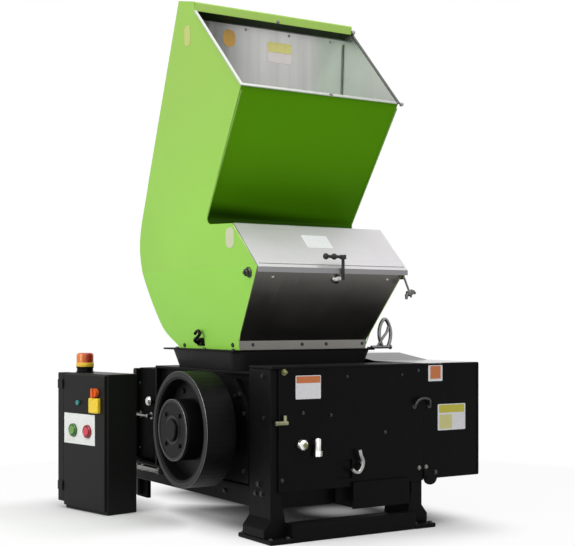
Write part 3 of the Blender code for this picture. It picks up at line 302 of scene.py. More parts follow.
def lined_coat(name, colour, roughness, specular, mask_of, steel=(0.56, 0.57, 0.55), steel_roughness=0.3,
               shaded=False, painted_light_and_shade_bands=(), foot=None):
    """Green coat outside and brushed steel inside, parted by a mask over the object's faces. Height bands
    lighten or darken the paint as painted light and shade; the foot option paints shade along the sheet's
    lower edge; the shaded option paints shade on the steel's left part and on down-facing faces at the
    back, and a painted green reflection towards the right.
    """
    material, tree, shader, place = surface(name, colour, roughness, 0.0, specular)
    across, depth, height = parts(tree, place)
    mask = mask_of(tree, place)
    patches = ramp(tree, noise(tree, place, 1.4, 3.0), 0.35, 0.65)
    fine = noise(tree, place, 24.0, 5.0, 0.6)
    paint = blend(tree, patches, scaled(colour, 0.965), scaled(colour, 1.03))
    paint = blend(tree, ramp(tree, fine, 0.5, 0.8, 0.0, 0.1), paint, tuple(c + 0.015 for c in colour))
    base, level, grain = brushed_metal(tree, place, (120.0, 120.0, 2.0), steel, steel_roughness)
    # Height bands that lighten or darken the paint: painted light and shade.
    for start, end, shade in painted_light_and_shade_bands:
        paint = blend(tree, ramp(tree, height, start, end, 0.0, 1.0, True), paint, shade)
    # The sheet's lower edge is painted near black along a slanted line: painted shade.
    if foot is not None:
        rise = calc(tree, height, calc(tree, across, 0.07), "ADD")
        painted_foot_shade = ramp(tree, rise, foot + 0.07, foot, 0.0, 0.9, True)
        paint = blend(tree, painted_foot_shade, paint, scaled(colour, 0.1))
    if shaded:
        # The steel's left part painted darker: painted shade.
        painted_left_shade = ramp(tree, across, -0.4, -0.02, 1.0, 0.0, True)
        base = blend(tree, painted_left_shade, base, scaled(steel, 0.12))
        tall = streaks(tree, place, (14.0, 14.0, 0.8), 3.0)
        base = blend(tree, ramp(tree, tall, 0.45, 0.7, 0.0, 0.45), base, scaled(steel, 0.66))
        # A green tint towards the right corner: a painted reflection of the green sheets.
        painted_green_reflection = ramp(tree, across, 0.24, 0.34, 0.0, 0.6, True)
        base = blend(tree, painted_green_reflection, base, (0.31, 0.38, 0.3))
        # Down-facing faces at the back painted near black: painted shade.
        painted_under_shade = calc(tree, facing_mask(tree, 2, -1, 0.5), calc(tree, depth, 0.658, "GREATER_THAN"))
        paint = blend(tree, painted_under_shade, paint, (0.008, 0.026, 0.002))
    paint_level = ramp(tree, fine, 0.3, 0.7, roughness - 0.03, roughness + 0.05)
    peel = noise(tree, place, 430.0, 2.0)
    relief, rough = [add(tree, "Mix", {0: mask, 2: outer, 3: inner}, data_type="FLOAT").outputs[0]
                     for outer, inner in ((peel, grain), (paint_level, level))]
    normal = bumps(tree, [(noise(tree, place, 2.6, 1.0), 0.1, 0.004), (relief, 0.08, 0.0006)])
    link(tree, shader, blend(tree, mask, paint, base), rough, normal, mask)
    return material


def cast_iron(name, colour, roughness, specular=0.11):
    """Painted casting: pitted skin with turned rings round the shaft."""
    material, tree, shader, place = surface(name, colour, roughness, 0.0, specular)
    skin = noise(tree, place, 150.0, 4.0, 0.65)
    patches = noise(tree, place, 9.0, 4.0)
    _, depth, height = parts(tree, place)
    offsets = [calc(tree, depth, SHAFT_Y, "SUBTRACT"), calc(tree, height, SHAFT_Z, "SUBTRACT")]
    radius = hypot(tree, *offsets)
    rings = calc(tree, calc(tree, radius, 2400.0), 0.0, "SINE")
    base = blend(tree, ramp(tree, patches, 0.35, 0.7), scaled(colour, 0.8), scaled(colour, 1.5))
    level = ramp(tree, patches, 0.3, 0.7, roughness - 0.06, roughness + 0.08)
    normal = bumps(tree, [(patches, 0.1, 0.002), (skin, 0.16, 0.0007), (rings, 0.03, 0.0003)])
    link(tree, shader, base, level, normal)
    return material


def bare_steel(name, colour=(0.56, 0.56, 0.55), roughness=0.28):
    """Machined or zinc-plated steel with fine marks and slightly duller spots."""
    material, tree, shader, place = surface(name, colour, roughness, 1.0)
    marks = noise(tree, place, 300.0, 5.0, 0.6)
    spots = noise(tree, place, 45.0, 4.0)
    base = blend(tree, ramp(tree, spots, 0.4, 0.7), scaled(colour, 1.08), scaled(colour, 0.74))
    level = ramp(tree, spots, 0.3, 0.7, roughness - 0.07, roughness + 0.12)
    link(tree, shader, base, level, bumps(tree, [(marks, 0.12, 0.0003)]))
    return material


def plastic(name, colour, roughness=0.3):
    """Moulded plastic with a fine texture and slight wear in its gloss."""
    material, tree, shader, place = surface(name, colour, roughness)
    fine = noise(tree, place, 900.0, 2.0)
    patches = noise(tree, place, 60.0, 4.0)
    base = blend(tree, ramp(tree, patches, 0.35, 0.7), scaled(colour, 0.92), scaled(colour, 1.06))
    level = ramp(tree, patches, 0.3, 0.7, roughness - 0.05, roughness + 0.08)
    link(tree, shader, base, level, bumps(tree, [(fine, 0.08, 0.0002)]))
    return material


def box_middle(name):
    low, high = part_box(name)
    return (Vector(low) + Vector(high)) / 2


def push_buttons():
    """The push buttons' middles, and the axis that points into the door."""
    centres = [box_middle(name) for name in ("start_button", "stop_button")]
    row = (centres[0] - centres[1]).normalized()
    return centres, Vector((row.y, -row.x, 0.0))


def button_panel():
    """White plate whose two bezel rings are dark, parted by the distance from each button's axis."""
    white, dark = (0.78, 0.8, 0.77), (0.02, 0.03, 0.025)
    bezel_radius = 0.0275
    material, tree, shader, place = surface("button_panel", white, 0.32)
    centres, axis = push_buttons()
    near = []
    for centre in centres:
        offset = add(tree, "VectorMath", {0: place, 1: centre}, operation="SUBTRACT").outputs[0]
        turned = add(tree, "VectorMath", {0: offset, 1: axis}, operation="CROSS_PRODUCT")
        away = add(tree, "VectorMath", {0: turned.outputs[0]}, operation="LENGTH").outputs["Value"]
        near.append(calc(tree, away, bezel_radius, "LESS_THAN"))
    rings = calc(tree, *near, "MAXIMUM")
    patches = noise(tree, place, 30.0, 4.0)
    base = blend(tree, ramp(tree, patches, 0.35, 0.7), white, scaled(white, 0.93))
    base = blend(tree, rings, base, dark)
    level = ramp(tree, patches, 0.3, 0.7, 0.28, 0.4)
    link(tree, shader, base, level,
         bumps(tree, [(noise(tree, place, 500.0, 2.0), 0.05, 0.0003)]))
    return material


def beacon_glass():
    """Moulded lens: a yellow foot ring, a clear orange-red dome, and fine ribs round it; the dome's
    left-facing side is painted a lighter orange, a painted highlight.
    """
    material, tree, shader, place = surface("beacon_glass", (0.65, 0.05, 0.005), 0.18)
    foot_top = 0.769
    height = parts(tree, place)[2]
    patches = noise(tree, place, 50.0, 3.0)
    red = blend(tree, patches, (0.34, 0.01, 0.004), (0.5, 0.03, 0.005))
    # Faces turned to the left blend to a light orange: painted light.
    across = parts(tree, add(tree, "TexCoord").outputs["Normal"])[0]
    red = blend(tree, ramp(tree, across, -0.82, -0.15, 0.85, 0.0, True), red, (0.85, 0.24, 0.02))
    base = blend(tree, ramp(tree, height, foot_top, foot_top + 0.0025), (0.95, 0.62, 0.05), red)
    ribs = calc(tree, calc(tree, height, 1900.0), 0.0, "SINE")
    shader.inputs["Transmission Weight"].default_value = 0.15
    level = ramp(tree, patches, 0.3, 0.7, 0.12, 0.24)
    link(tree, shader, base, level, bumps(tree, [(ribs, 0.15, 0.0008)]))
    return material


def printed(name, colour):
    """Thin printed plate with a faint grain and slightly rubbed ink."""
    material, tree, shader, place = surface(name, colour, 0.42, 0.0, 0.4)
    rub = ramp(tree, noise(tree, place, 70.0, 5.0, 0.6), 0.45, 0.75)
    base = blend(tree, rub, colour, tuple(0.86 * channel + 0.05 for channel in colour))
    level = ramp(tree, rub, 0.0, 1.0, 0.36, 0.52)
    link(tree, shader, base, level,
         bumps(tree, [(noise(tree, place, 700.0, 2.0), 0.05, 0.0002)]))
    return material


# Mesh building

def facing(point, normal, up=UP):
    """A place whose local Z points along the normal and whose local Y points as near to up as it can."""
    z = Vector(normal).normalized()
    x = Vector(up).cross(z).normalized()
    y = z.cross(x)
    place = Matrix((x, y, z)).transposed().to_4x4()
    place.translation = Vector(point)
    return place


def circle(work, place, radius, height, sides, turn=0.0):
    """A ring of corners round the place's Z axis, turned by a share of one step."""
    ring = []
    for k in range(sides):
        angle = 2 * pi * (k + turn) / sides
        spot = Vector((radius * cos(angle), radius * sin(angle), height))
        ring.append(work.verts.new(place @ spot))
    return ring


def join(work, rings, closed=False):
    """Faces between neighbouring rings of corners; a ring may be a single point."""
    count = max(len(ring) for ring in rings)
    faces = []
    for low, high in zip(rings, rings[1:] + rings[:1] if closed else rings[1:]):
        for k in range(count):
            n = (k + 1) % count
            corners = [low[k % len(low)], low[n % len(low)], high[n % len(high)], high[k % len(high)]]
            unique = list(dict.fromkeys(corners))
            if len(unique) > 2:
                faces.append(work.faces.new(unique))
    return faces


def lathe(work, place, profile, sides=24):
    """Turn (radius, height) points round the place's Z axis into one closed form."""
    rings = []
    for radius, height in profile:
        if radius < 1e-6:
            rings.append([work.verts.new(place @ Vector((0.0, 0.0, height)))])
        else:
            rings.append(circle(work, place, radius, height, sides, 0.5))
    join(work, rings)
    for ring in (rings[0], rings[-1]):
        if len(ring) > 1:
            work.faces.new(ring)


def slab(work, place, outline, thickness, chamfer=0.0, kind=0):
    """A flat plate from an outline in the place's XY plane, its far edge chamfered."""
    centre = Vector((sum(x for x, y in outline) / len(outline), sum(y for x, y in outline) / len(outline)))
    levels = [(0.0, 0.0), (thickness - chamfer, 0.0)]
    if chamfer:
        levels.append((thickness, chamfer))
    rings = []
    for height, inset in levels:
        ring = []
        for x, y in outline:
            arm = Vector((x, y)) - centre
            shrunk = centre + arm * max(0.0, 1 - inset * 1.3 / max(arm.length, 1e-6))
            ring.append(work.verts.new(place @ Vector((shrunk.x, shrunk.y, height))))
        rings.append(ring)
    for face in [work.faces.new(rings[0]), work.faces.new(rings[-1])] + join(work, rings):
        face.material_index = kind


def plate(work, place, size, *rest):
    """A slab with rounded corners; size is its width, height and corner radius."""
    slab(work, place, rounded_outline(*size), *rest)


def tube(work, points, radius, sides=12, closed=False):
    """A round bar along points, its radius the same all along or given for each point."""
    path = [Vector(point) for point in points]
    count = len(path)
    radii = radius if isinstance(radius, (list, tuple)) else [radius] * count
    rings = []
    across = None
    for index, point in enumerate(path):
        if closed:
            ahead = path[(index + 1) % count] - path[index - 1]
        else:
            ahead = path[min(index + 1, count - 1)] - path[max(index - 1, 0)]
        ahead.normalize()
        if across is None:
            across = ahead.orthogonal().normalized()
        across = (across - ahead * across.dot(ahead)).normalized()
        side = ahead.cross(across)
        ring = []
        for k in range(sides):
            angle = 2 * pi * k / sides
            arm = across * cos(angle) + side * sin(angle)
            ring.append(work.verts.new(point + arm * radii[index]))
        rings.append(ring)
    join(work, rings, closed)
    if not closed:
        work.faces.new(rings[0])
        work.faces.new(rings[-1])


def smooth_path(points, steps=6):
    """Points on a smooth curve through the given ones."""
    given = [Vector(point) for point in points]
    given = [2 * given[0] - given[1]] + given + [2 * given[-1] - given[-2]]
    result = []
    for a, b, c, d in zip(given, given[1:], given[2:], given[3:]):
        for step in range(steps):
            t = step / steps
            result.append(0.5 * (2 * b + (c - a) * t + (2 * a - 5 * b + 4 * c - d) * t * t
                                 + (3 * b - a - 3 * c + d) * t * t * t))
    result.append(given[-2])
    return result


def rounded_outline(width, height, radius, steps=4):
    corners = ((width / 2, height / 2, 0), (-width / 2, height / 2, 90), (-width / 2, -height / 2, 180),
               (width / 2, -height / 2, 270))
    outline = []
    for x, y, start in corners:
        cx = x - copysign(radius, x)
        cy = y - copysign(radius, y)
        for step in range(steps + 1):
            angle = radians(start + 90 * step / steps)
            outline.append((cx + radius * cos(angle), cy + radius * sin(angle)))
    return outline


def lathe_ring(work, place, inner, outer, height, sides=72):
    """A flat ring with a chamfered outer edge, standing on the place's plane."""
    profile = [(inner, -0.001), (inner, height * 0.7), ((inner + outer) / 2, height),
               (outer - 0.001, height * 0.8), (outer, -0.001)]
    join(work, [circle(work, place, radius, level, sides) for radius, level in profile], True)


def hex_bolt(work, place, size):
    """Washer and chamfered six-sided head; size is half the width across the head's corners."""
    s = size
    washer = [(0.0, 0.0), (1.22 * s, 0.0), (1.25 * s, 0.04 * s), (1.22 * s, 0.17 * s), (0.0, 0.17 * s)]
    lathe(work, place, washer, 20)
    head = [(0.0, 0.15 * s), (s, 0.15 * s), (s, 0.68 * s), (0.86 * s, 0.8 * s), (0.0, 0.82 * s)]
    lathe(work, place, head, 6)


def stud(work, place, size, length):
    """A threaded stud with a nut and washer; the thread shows as fine rings."""
    hex_bolt(work, place, size)
    r = 0.52 * size
    turns = 7
    pitch = (length - 0.8 * size) / turns
    profile = [(0.0, 0.0)]
    for step in range(turns):
        low = 0.8 * size + pitch * step
        profile += [(r * 0.86, low), (r, low + pitch / 2)]
    profile += [(r * 0.8, length), (0.0, length)]
    lathe(work, place, profile, 14)


def round_screw(work, place, size):
    """Low domed screw head with a six-sided socket."""
    s = size
    lathe(work, place, [(0.0, 0.0), (s, 0.0), (s, 0.12 * s), (0.9 * s, 0.38 * s), (0.62 * s, 0.55 * s),
                        (0.48 * s, 0.57 * s), (0.4 * s, 0.3 * s), (0.0, 0.28 * s)], 18)


def piece(name, work, slot, *materials, body="machine"):
    """Turn the work into a piece that rides a body, with its materials. The slot argument is not used."""
    bmesh.ops.recalc_face_normals(work, faces=work.faces)
    mesh = bpy.data.meshes.new(name)
    work.to_mesh(mesh)
    work.free()
    mesh.shade_smooth()
    mesh.set_sharp_from_angle(angle=radians(35))
    for material in materials:
        mesh.materials.append(material)
    item = placed(name, mesh)
    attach(item, body)
    return item


def dress(material, *names):
    for name in names:
        for place in NODES[name].material_slots:
            place.material = material


def half_width(height):
    (z0, w0), (z1, w1), (z2, w2) = WIDTHS
    if height < z1:
        return w0 + (w1 - w0) * (height - z0) / (z1 - z0)
    return w1 + (w2 - w1) * (height - z1) / (z2 - z1)


# Finishes

GREEN = (0.285, 0.59, 0.072)
# The front sheet's green, darker than the sides': painted shade on the sheet that faces down and forward.
GREEN_WITH_PAINTED_SHADE = (0.14, 0.45, 0.004)
BLACK = (0.003, 0.003, 0.0031)
# The sides' green painted darker from 1.3 m up to 2.4 m as painted shade, and a brighter green below the
# crease as painted light that hides the shading step there.
SIDE_PAINTED_LIGHT_AND_SHADE = ((1.3, 2.4, (0.28, 0.5, 0.072)), (CREASE + 0.002, CREASE - 0.002, (0.293, 0.645, 0.075)))


def splash_guard_faces(tree, place):
    """1 on the splash guard, which is the top sheet's part below and behind the brow."""
    _, depth, height = parts(tree, place)
    return calc(tree, calc(tree, height, 2.495, "LESS_THAN"), calc(tree, depth, 0.7135, "GREATER_THAN"))


def inner_face(axis, sign, threshold=0.0):
    return lambda tree, place: facing_mask(tree, axis, sign, threshold)


def finish_nodes():
    """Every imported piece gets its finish; the rolled back sheet is shaded as one curve."""
    NODES["hopper_back"].data.shade_smooth()
    NODES["hopper_back"].data.set_sharp_from_angle(angle=radians(25))
    dress(coat("black_coat", BLACK, 0.44, 0.05), "deck_plate", "floor_plate", "rear_wall",
          "chamber_wall_left", "chamber_wall_right", "feed_plate_front", "feed_plate_rear", "hopper_flange",
          "bin_runner_left", "bin_runner_right", "beacon_base")
    dress(coat("throat_coat", scaled(BLACK, 5.5), 0.42, 0.11), "throat")
    dress(coat("panel_coat", BLACK, 0.36, 0.06, grain=380.0, flat_top=0.05), "front_panel", "belt_guard",
          "granulate_bin")
    dress(coat("leg_coat", BLACK, 0.46, 0.07, grain=300.0), "front_leg_left", "front_leg_right",
          "foot_plate_left", "foot_plate_right", "front_rail", "side_beam_left", "side_beam_right",
          "bearing_bracket", "front_cap")
    # A darker, duller copy of the black paint for the motor housing and rear stand: painted shade.
    dress(coat("painted_shade_coat", scaled(BLACK, 0.6), 0.55, 0.02, dust=0.02), "motor_housing", "rear_stand")
    dress(coat("cabinet_coat", (0.012, 0.013, 0.012), 0.38, 0.09, grain=500.0), "cabinet", "cabinet_door",
          "hinge_post", "door_hinge_lower", "door_hinge_upper")
    dress(lined_coat("side_left_coat", GREEN, 0.38, 0.26, inner_face(0, 1), painted_light_and_shade_bands=SIDE_PAINTED_LIGHT_AND_SHADE),
          "hopper_side_left")
    # The right side's inner steel is lighter and greener than the left's: painted light and a painted
    # reflection of the green paint.
    dress(lined_coat("side_right_coat", GREEN, 0.38, 0.26, inner_face(0, -1), (0.78, 0.82, 0.78), 0.34,
                     painted_light_and_shade_bands=SIDE_PAINTED_LIGHT_AND_SHADE), "hopper_side_right")
    dress(lined_coat("back_coat", GREEN, 0.38, 0.26, inner_face(1, -1)), "hopper_back")
    # Front sheet: the darker green, darker again from 1.9 m down to 1.5 m, and its foot near black: all
    # painted shade.
    dress(lined_coat("front_coat", GREEN_WITH_PAINTED_SHADE, 0.4, 0.05, inner_face(1, 1, 0.2), foot=1.488,
                     painted_light_and_shade_bands=((1.9, 1.5, scaled(GREEN_WITH_PAINTED_SHADE, 0.66)),)), "hopper_front")
    # Top sheet: its green lighter from 2.40 to 2.48 m up as painted light on the brow; the splash guard's
    # steel carries painted shade and a painted green reflection.
    dress(lined_coat("top_coat", GREEN, 0.38, 0.26, splash_guard_faces, (0.47, 0.47, 0.455), 0.34, True,
                     ((2.4, 2.48, (0.41, 0.65, 0.128)),)), "hopper_top")
    # The lid's steep front lip is painted darker: painted shade.
    dress(stainless("lid_steel", (0.58, 0.567, 0.58), 0.5, painted_shade_lip=0.44), "lid")
    # The lower front's steel is much darker than the lid's: painted shade standing for the dark reflections
    # it shows.
    dress(stainless("lower_front_steel", (0.225, 0.218, 0.2), 0.33, (170.0, 3.0, 3.0)),
          "hopper_lower_front")
    # The mouth frame's right bar is painted darker: painted shade.
    dress(stainless("frame_steel", (0.47, 0.49, 0.45), 0.28, (60.0, 60.0, 60.0), painted_shade_right_bar=0.22),
          "mouth_frame")
    dress(cast_iron("wheel_casting", (0.004, 0.004, 0.004), 0.38, 0.07), "flywheel", "shaft_cap")
    dress(cast_iron("bearing_casting", (0.008, 0.008, 0.008), 0.42), "bearing_housing")
    dress(cast_iron("knob_casting", (0.03, 0.03, 0.03), 0.34), "lid_knob")
    dress(bare_steel("machined_steel"), "rotor", "bed_knife_front", "bed_knife_rear", "screen")
    dress(bare_steel("bright_steel", (0.78, 0.77, 0.73), 0.2), "panel_bolt", "panel_knob")
    dress(bare_steel("lever_steel", (0.34, 0.34, 0.33), 0.3), "bin_lever")
    dress(bare_steel("clamp_zinc", (0.24, 0.24, 0.15), 0.34), "panel_clamp")
    dress(button_panel(), "button_plate")
    dress(plastic("start_green", (0.13, 0.32, 0.05)), "start_button")
    dress(plastic("stop_red", (0.64, 0.035, 0.065)), "stop_button")
    dress(plastic("switch_yellow", (0.86, 0.6, 0.02)), "switch_base")
    dress(plastic("switch_red", (0.78, 0.13, 0.02)), "main_switch")
    dress(plastic("lamp_teal", (0.02, 0.22, 0.2), 0.2), "lamp")


TREES = {}


def seat(name, point, direction, out=0.0, up=UP):
    """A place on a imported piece's surface, met by a ray; local Z points away from the surface."""
    if name not in TREES:
        mesh = NODES[name].data
        corners = [corner.co for corner in mesh.vertices]
        TREES[name] = BVHTree.FromPolygons(corners, [list(face.vertices) for face in mesh.polygons])
    aim = Vector(direction).normalized()
    spot, normal, _, _ = TREES[name].ray_cast(Vector(point), aim)
    if normal.dot(aim) > 0:
        normal = -normal
    return facing(spot + normal * out, normal, up)


def on_left(name, y, z, out=0.0):
    return seat(name, (-1.5, y, z), RIGHT, out)


def on_right(name, y, z):
    return seat(name, (1.5, y, z), LEFT)


def on_front(name, x, z, out=0.0):
    return seat(name, (x, -1.0, z), REAR, out)


def on_top(name, x, y):
    return seat(name, (x, y, 2.0), DOWN, 0.0, REAR)


def heads(name, material, spots, on=on_front, make=hex_bolt):
    """A piece of bolt or screw heads; each spot is a host, its two coordinates there and a size."""
    work = bmesh.new()
    for host, first, second, size in spots:
        make(work, on(host, first, second), size)
    piece(name, work, "steel", material)


# Fittings on the body

def label(name, host, x, z, width, height, fields, papers):
    """A bare printed plate: white stock with plain coloured fields, given as offsets and sizes."""
    work = bmesh.new()
    place = on_front(host, x, z, 0.0002)
    plate(work, place, (width, height, 0.005), 0.0012, 0.0004)
    for kind, (dx, dz, across, tall) in enumerate(fields, 1):
        inner = place @ Matrix.Translation((dx, dz, 0.0011))
        plate(work, inner, (across, tall, 0.003), 0.0004, 0.0, kind)
    piece(name, work, "white_paint", *papers)


def body_labels():
    paper = printed("label_paper", (0.88, 0.88, 0.9))
    orange = printed("label_orange", (0.66, 0.2, 0.06))
    yellow = printed("label_yellow", (0.62, 0.56, 0.06))
    pale = printed("label_pale_yellow", (0.74, 0.7, 0.3))
    label("label_front", "front_panel", -0.2365, 0.6915, 0.137, 0.107, [(0.0, 0.035, 0.13, 0.031)],
          (paper, orange))
    label("label_guard_small", "belt_guard", 0.505, 0.743, 0.088, 0.088, [(0.0, -0.001, 0.064, 0.062)],
          (paper, orange))
    label("label_guard_large", "belt_guard", 0.6075, 0.5215, 0.175, 0.128,
          [(0.0, 0.041, 0.16, 0.038), (-0.038, -0.022, 0.08, 0.068)], (paper, yellow, pale))


def body_bolts(dull, bright, brass):
    panel, leg, bracket = "front_panel", "front_leg_left", "bearing_bracket"
    heads("panel_screws", dull, (
        (panel, -0.265, 0.576, 0.0075), (panel, -0.111, 0.56, 0.007), (panel, 0.199, 0.466, 0.008),
        (panel, -0.378, 0.277, 0.0085), (panel, 0.399, 0.753, 0.007), (panel, 0.3, 0.735, 0.006),
        (panel, -0.02, 0.735, 0.006)))
    heads("guard_bolts", bright, ((panel, 0.404, 0.284, 0.009), ("belt_guard", 0.447, 0.286, 0.009)))
    knob = box_middle("panel_knob")
    work = bmesh.new()
    lathe(work, on_front("panel_knob", knob.x, knob.z),
          [(0.0, 0.0), (0.0115, 0.0), (0.0105, 0.0012), (0.0, 0.0016)], 20)
    piece("knob_centre", work, "steel", brass)
    work = bmesh.new()
    stud(work, on_front(panel, -0.367, 0.7625), 0.012, 0.024)
    piece("panel_brass_bolt", work, "steel", brass)
    heads("side_bolts", dull, (
        (leg, 0.0775, 0.744, 0.011), (leg, 0.069, 0.5555, 0.009), (leg, 0.112, 0.253, 0.014),
        (leg, 0.139, 0.209, 0.012), (leg, 0.086, 0.212, 0.012), ("side_beam_left", 0.469, 0.18, 0.011),
        (bracket, 0.284, 0.65, 0.012), (bracket, 0.33, 0.64, 0.01), (bracket, 0.25, 0.562, 0.011),
        (bracket, 0.25, 0.3, 0.012), (bracket, 0.71, 0.3, 0.012), (bracket, 0.71, 0.56, 0.012)),
        on_left)


def guard_fittings(dark, black):
    """Grab handle, corner lobe and edge flanges of the belt guard's front, and the beam left of it."""
    work = bmesh.new()
    arch = [(0.374, 0.002, 0.58), (0.376, -0.01, 0.59), (0.388, -0.02, 0.612), (0.42, -0.022, 0.62),
            (0.452, -0.02, 0.612), (0.464, -0.01, 0.59), (0.466, 0.002, 0.58)]
    tube(work, smooth_path(arch, 5), 0.0065, 12)
    for x in (0.374, 0.466):
        lathe(work, facing((x, 0.0, 0.581), FRONT),
              [(0.0, 0.0), (0.013, 0.0), (0.012, 0.004), (0.0, 0.005)], 16)
    piece("guard_handle", work, "steel", dark)
    work = bmesh.new()
    outline = [(-0.039, 0.036), (-0.039, -0.012)]
    for step in range(9):
        angle = pi * (1 + step / 8)
        outline.append((0.039 * cos(angle), -0.006 + 0.032 * sin(angle)))
    outline += [(0.039, -0.012), (0.039, 0.036)]
    outline = list(dict.fromkeys(outline))
    slab(work, on_front("belt_guard", 0.47, 0.236), outline, 0.01, 0.002)
    hex_bolt(work, on_front("belt_guard", 0.447, 0.236, 0.01), 0.0075)
    piece("guard_lobe", work, "black_paint", black)
    work = bmesh.new()
    hex_bolt(work, on_front("belt_guard", 0.497, 0.258, 0.01), 0.0095)
    piece("lobe_bolt", work, "steel", dark)
    work = bmesh.new()
    plate(work, on_front("belt_guard", 0.7745, 0.508), (0.012, 0.552, 0.003), 0.0025, 0.0008)
    plate(work, on_front("belt_guard", 0.6045, 0.7815), (0.345, 0.009, 0.003), 0.002, 0.0008)
    piece("guard_edges", work, "black_paint", black)
    work = bmesh.new()
    beam_x, beam_y, beam_z = -0.1895, 0.1, 0.1768
    plate(work, facing((beam_x, beam_y + 0.05, beam_z), FRONT), (0.35, 0.0876, 0.006), 0.05, 0.003)
    for x in (-0.335, -0.045):
        hex_bolt(work, facing((x, beam_y, beam_z), FRONT), 0.01)
    piece("cross_beam", work, "black_paint", black)


def rear_fittings(bright, dull, medium):
    """Knob and rod ends on the motor housing, and the stay rod along the side beam."""
    work = bmesh.new()
    lathe(work, on_left("motor_housing", 1.483, 0.547), [
        (0.0, 0.0), (0.012, 0.0), (0.012, 0.008), (0.021, 0.01), (0.027, 0.016), (0.028, 0.023),
        (0.0255, 0.031), (0.02, 0.037), (0.012, 0.041), (0.0, 0.0425)], 28)
    piece("housing_knob", work, "steel", bright)
    work = bmesh.new()
    rod_ends, rod_z = (1.495, 1.636), 0.465
    for y in rod_ends:
        lathe(work, on_left("motor_housing", y, rod_z), [
            (0.0, 0.0), (0.02, 0.0), (0.02, 0.005), (0.011, 0.006), (0.011, 0.032), (0.009, 0.034),
            (0.0, 0.034)], 20)
    tube(work, [(-0.318, y, rod_z) for y in rod_ends], 0.006, 12)
    piece("housing_rod_ends", work, "steel", dull)
    work = bmesh.new()
    stay_x, stay_z = -0.423, 0.2
    tube(work, [(stay_x, y, stay_z) for y in (1.13, 1.4)], 0.0115, 16)
    tube(work, [(stay_x, y, stay_z) for y in (1.392, 1.398, 1.436, 1.442)], [0.014, 0.018, 0.018, 0.014], 6)
    for y in (1.165, 1.355):
        plate(work, facing((-0.4052, y, stay_z), LEFT), (0.026, 0.034, 0.004), 0.014, 0.002)
    piece("stay_rod", work, "steel", medium)


def housing_details(dark, shade):
    """Screws, vent bars and edge strips of the motor housing, the guard's side screws, the anchor bolts."""
    work = bmesh.new()
    for z in (0.275, 0.64):
        for y in (1.215, 1.645):
            round_screw(work, on_left("motor_housing", y, z), 0.009)
            round_screw(work, on_right("motor_housing", y, z), 0.009)
        for x in (-0.245, 0.07, 0.385):
            round_screw(work, seat("motor_housing", (x, 3.0, z), FRONT), 0.009)
    for step in range(9):
        for x in (-0.12, 0.26):
            place = on_top("motor_housing", x, 1.28 + 0.03 * step)
            plate(work, place, (0.2, 0.012, 0.005), 0.0035, 0.0015, 1)
    piece("housing_screws", work, "steel", dark, shade)
    work = bmesh.new()
    plate(work, facing((-0.2895, 1.668, 0.474), LEFT), (0.04, 0.5, 0.006), 0.024, 0.004)
    plate(work, facing((-0.2895, 1.655, 0.09), LEFT), (0.06, 0.16, 0.006), 0.024, 0.003)
    piece("housing_edge", work, "black_paint", shade)
    heads("guard_side_screws", dark,
          [("belt_guard", y, z, 0.008) for y in (0.1, 0.52, 0.94, 1.46) for z in (0.262, 0.752)],
          on_right, round_screw)
    heads("anchor_bolts", dark,
          [("foot_plate_left" if x < 0 else "foot_plate_right", x, y, 0.01)
           for x in (-0.452, -0.36, 0.36, 0.452) for y in (-0.026, 0.214)], on_top)


def wheel_details(dark, edge, wear_and_sheen):
    """The flywheel's bolts, and the bands and bright edges of its rim and hub."""
    work = bmesh.new()
    for count, first, reach, size in ((3, 69, 0.19, 0.012), (4, 45, 0.098, 0.01)):
        for step in range(count):
            angle = radians(first + 360 / count * step)
            y = SHAFT_Y + reach * cos(angle)
            hex_bolt(work, on_left("flywheel", y, SHAFT_Z + reach * sin(angle)), size)
    piece("wheel_bolts", work, "steel", dark, body="rotor")
    work = bmesh.new()
    lathe_ring(work, facing((-0.645, SHAFT_Y, SHAFT_Z), LEFT), 0.25, 0.2735, 0.0022)
    piece("wheel_rim_band", work, "cast_black", edge, body="rotor")
    work = bmesh.new()
    for x, radius, thickness in ((-0.6442, 0.2728, 0.0018), (-0.6815, 0.2728 * 0.526, 0.002)):
        ring = []
        for step in range(96):
            angle = 2 * pi * step / 96
            ring.append((x, SHAFT_Y + radius * cos(angle), SHAFT_Z + radius * sin(angle)))
        tube(work, ring, thickness, 8, True)
    piece("wheel_edge", work, "steel", wear_and_sheen, body="rotor")
    work = bmesh.new()
    place = facing((-0.681, SHAFT_Y, SHAFT_Z), LEFT)
    lathe_ring(work, place, 0.056, 0.07, 0.002)
    lathe_ring(work, place, 0.13, 0.144, 0.0022)
    piece("wheel_hub_bands", work, "cast_black", edge, body="rotor")


# Fittings on the hopper

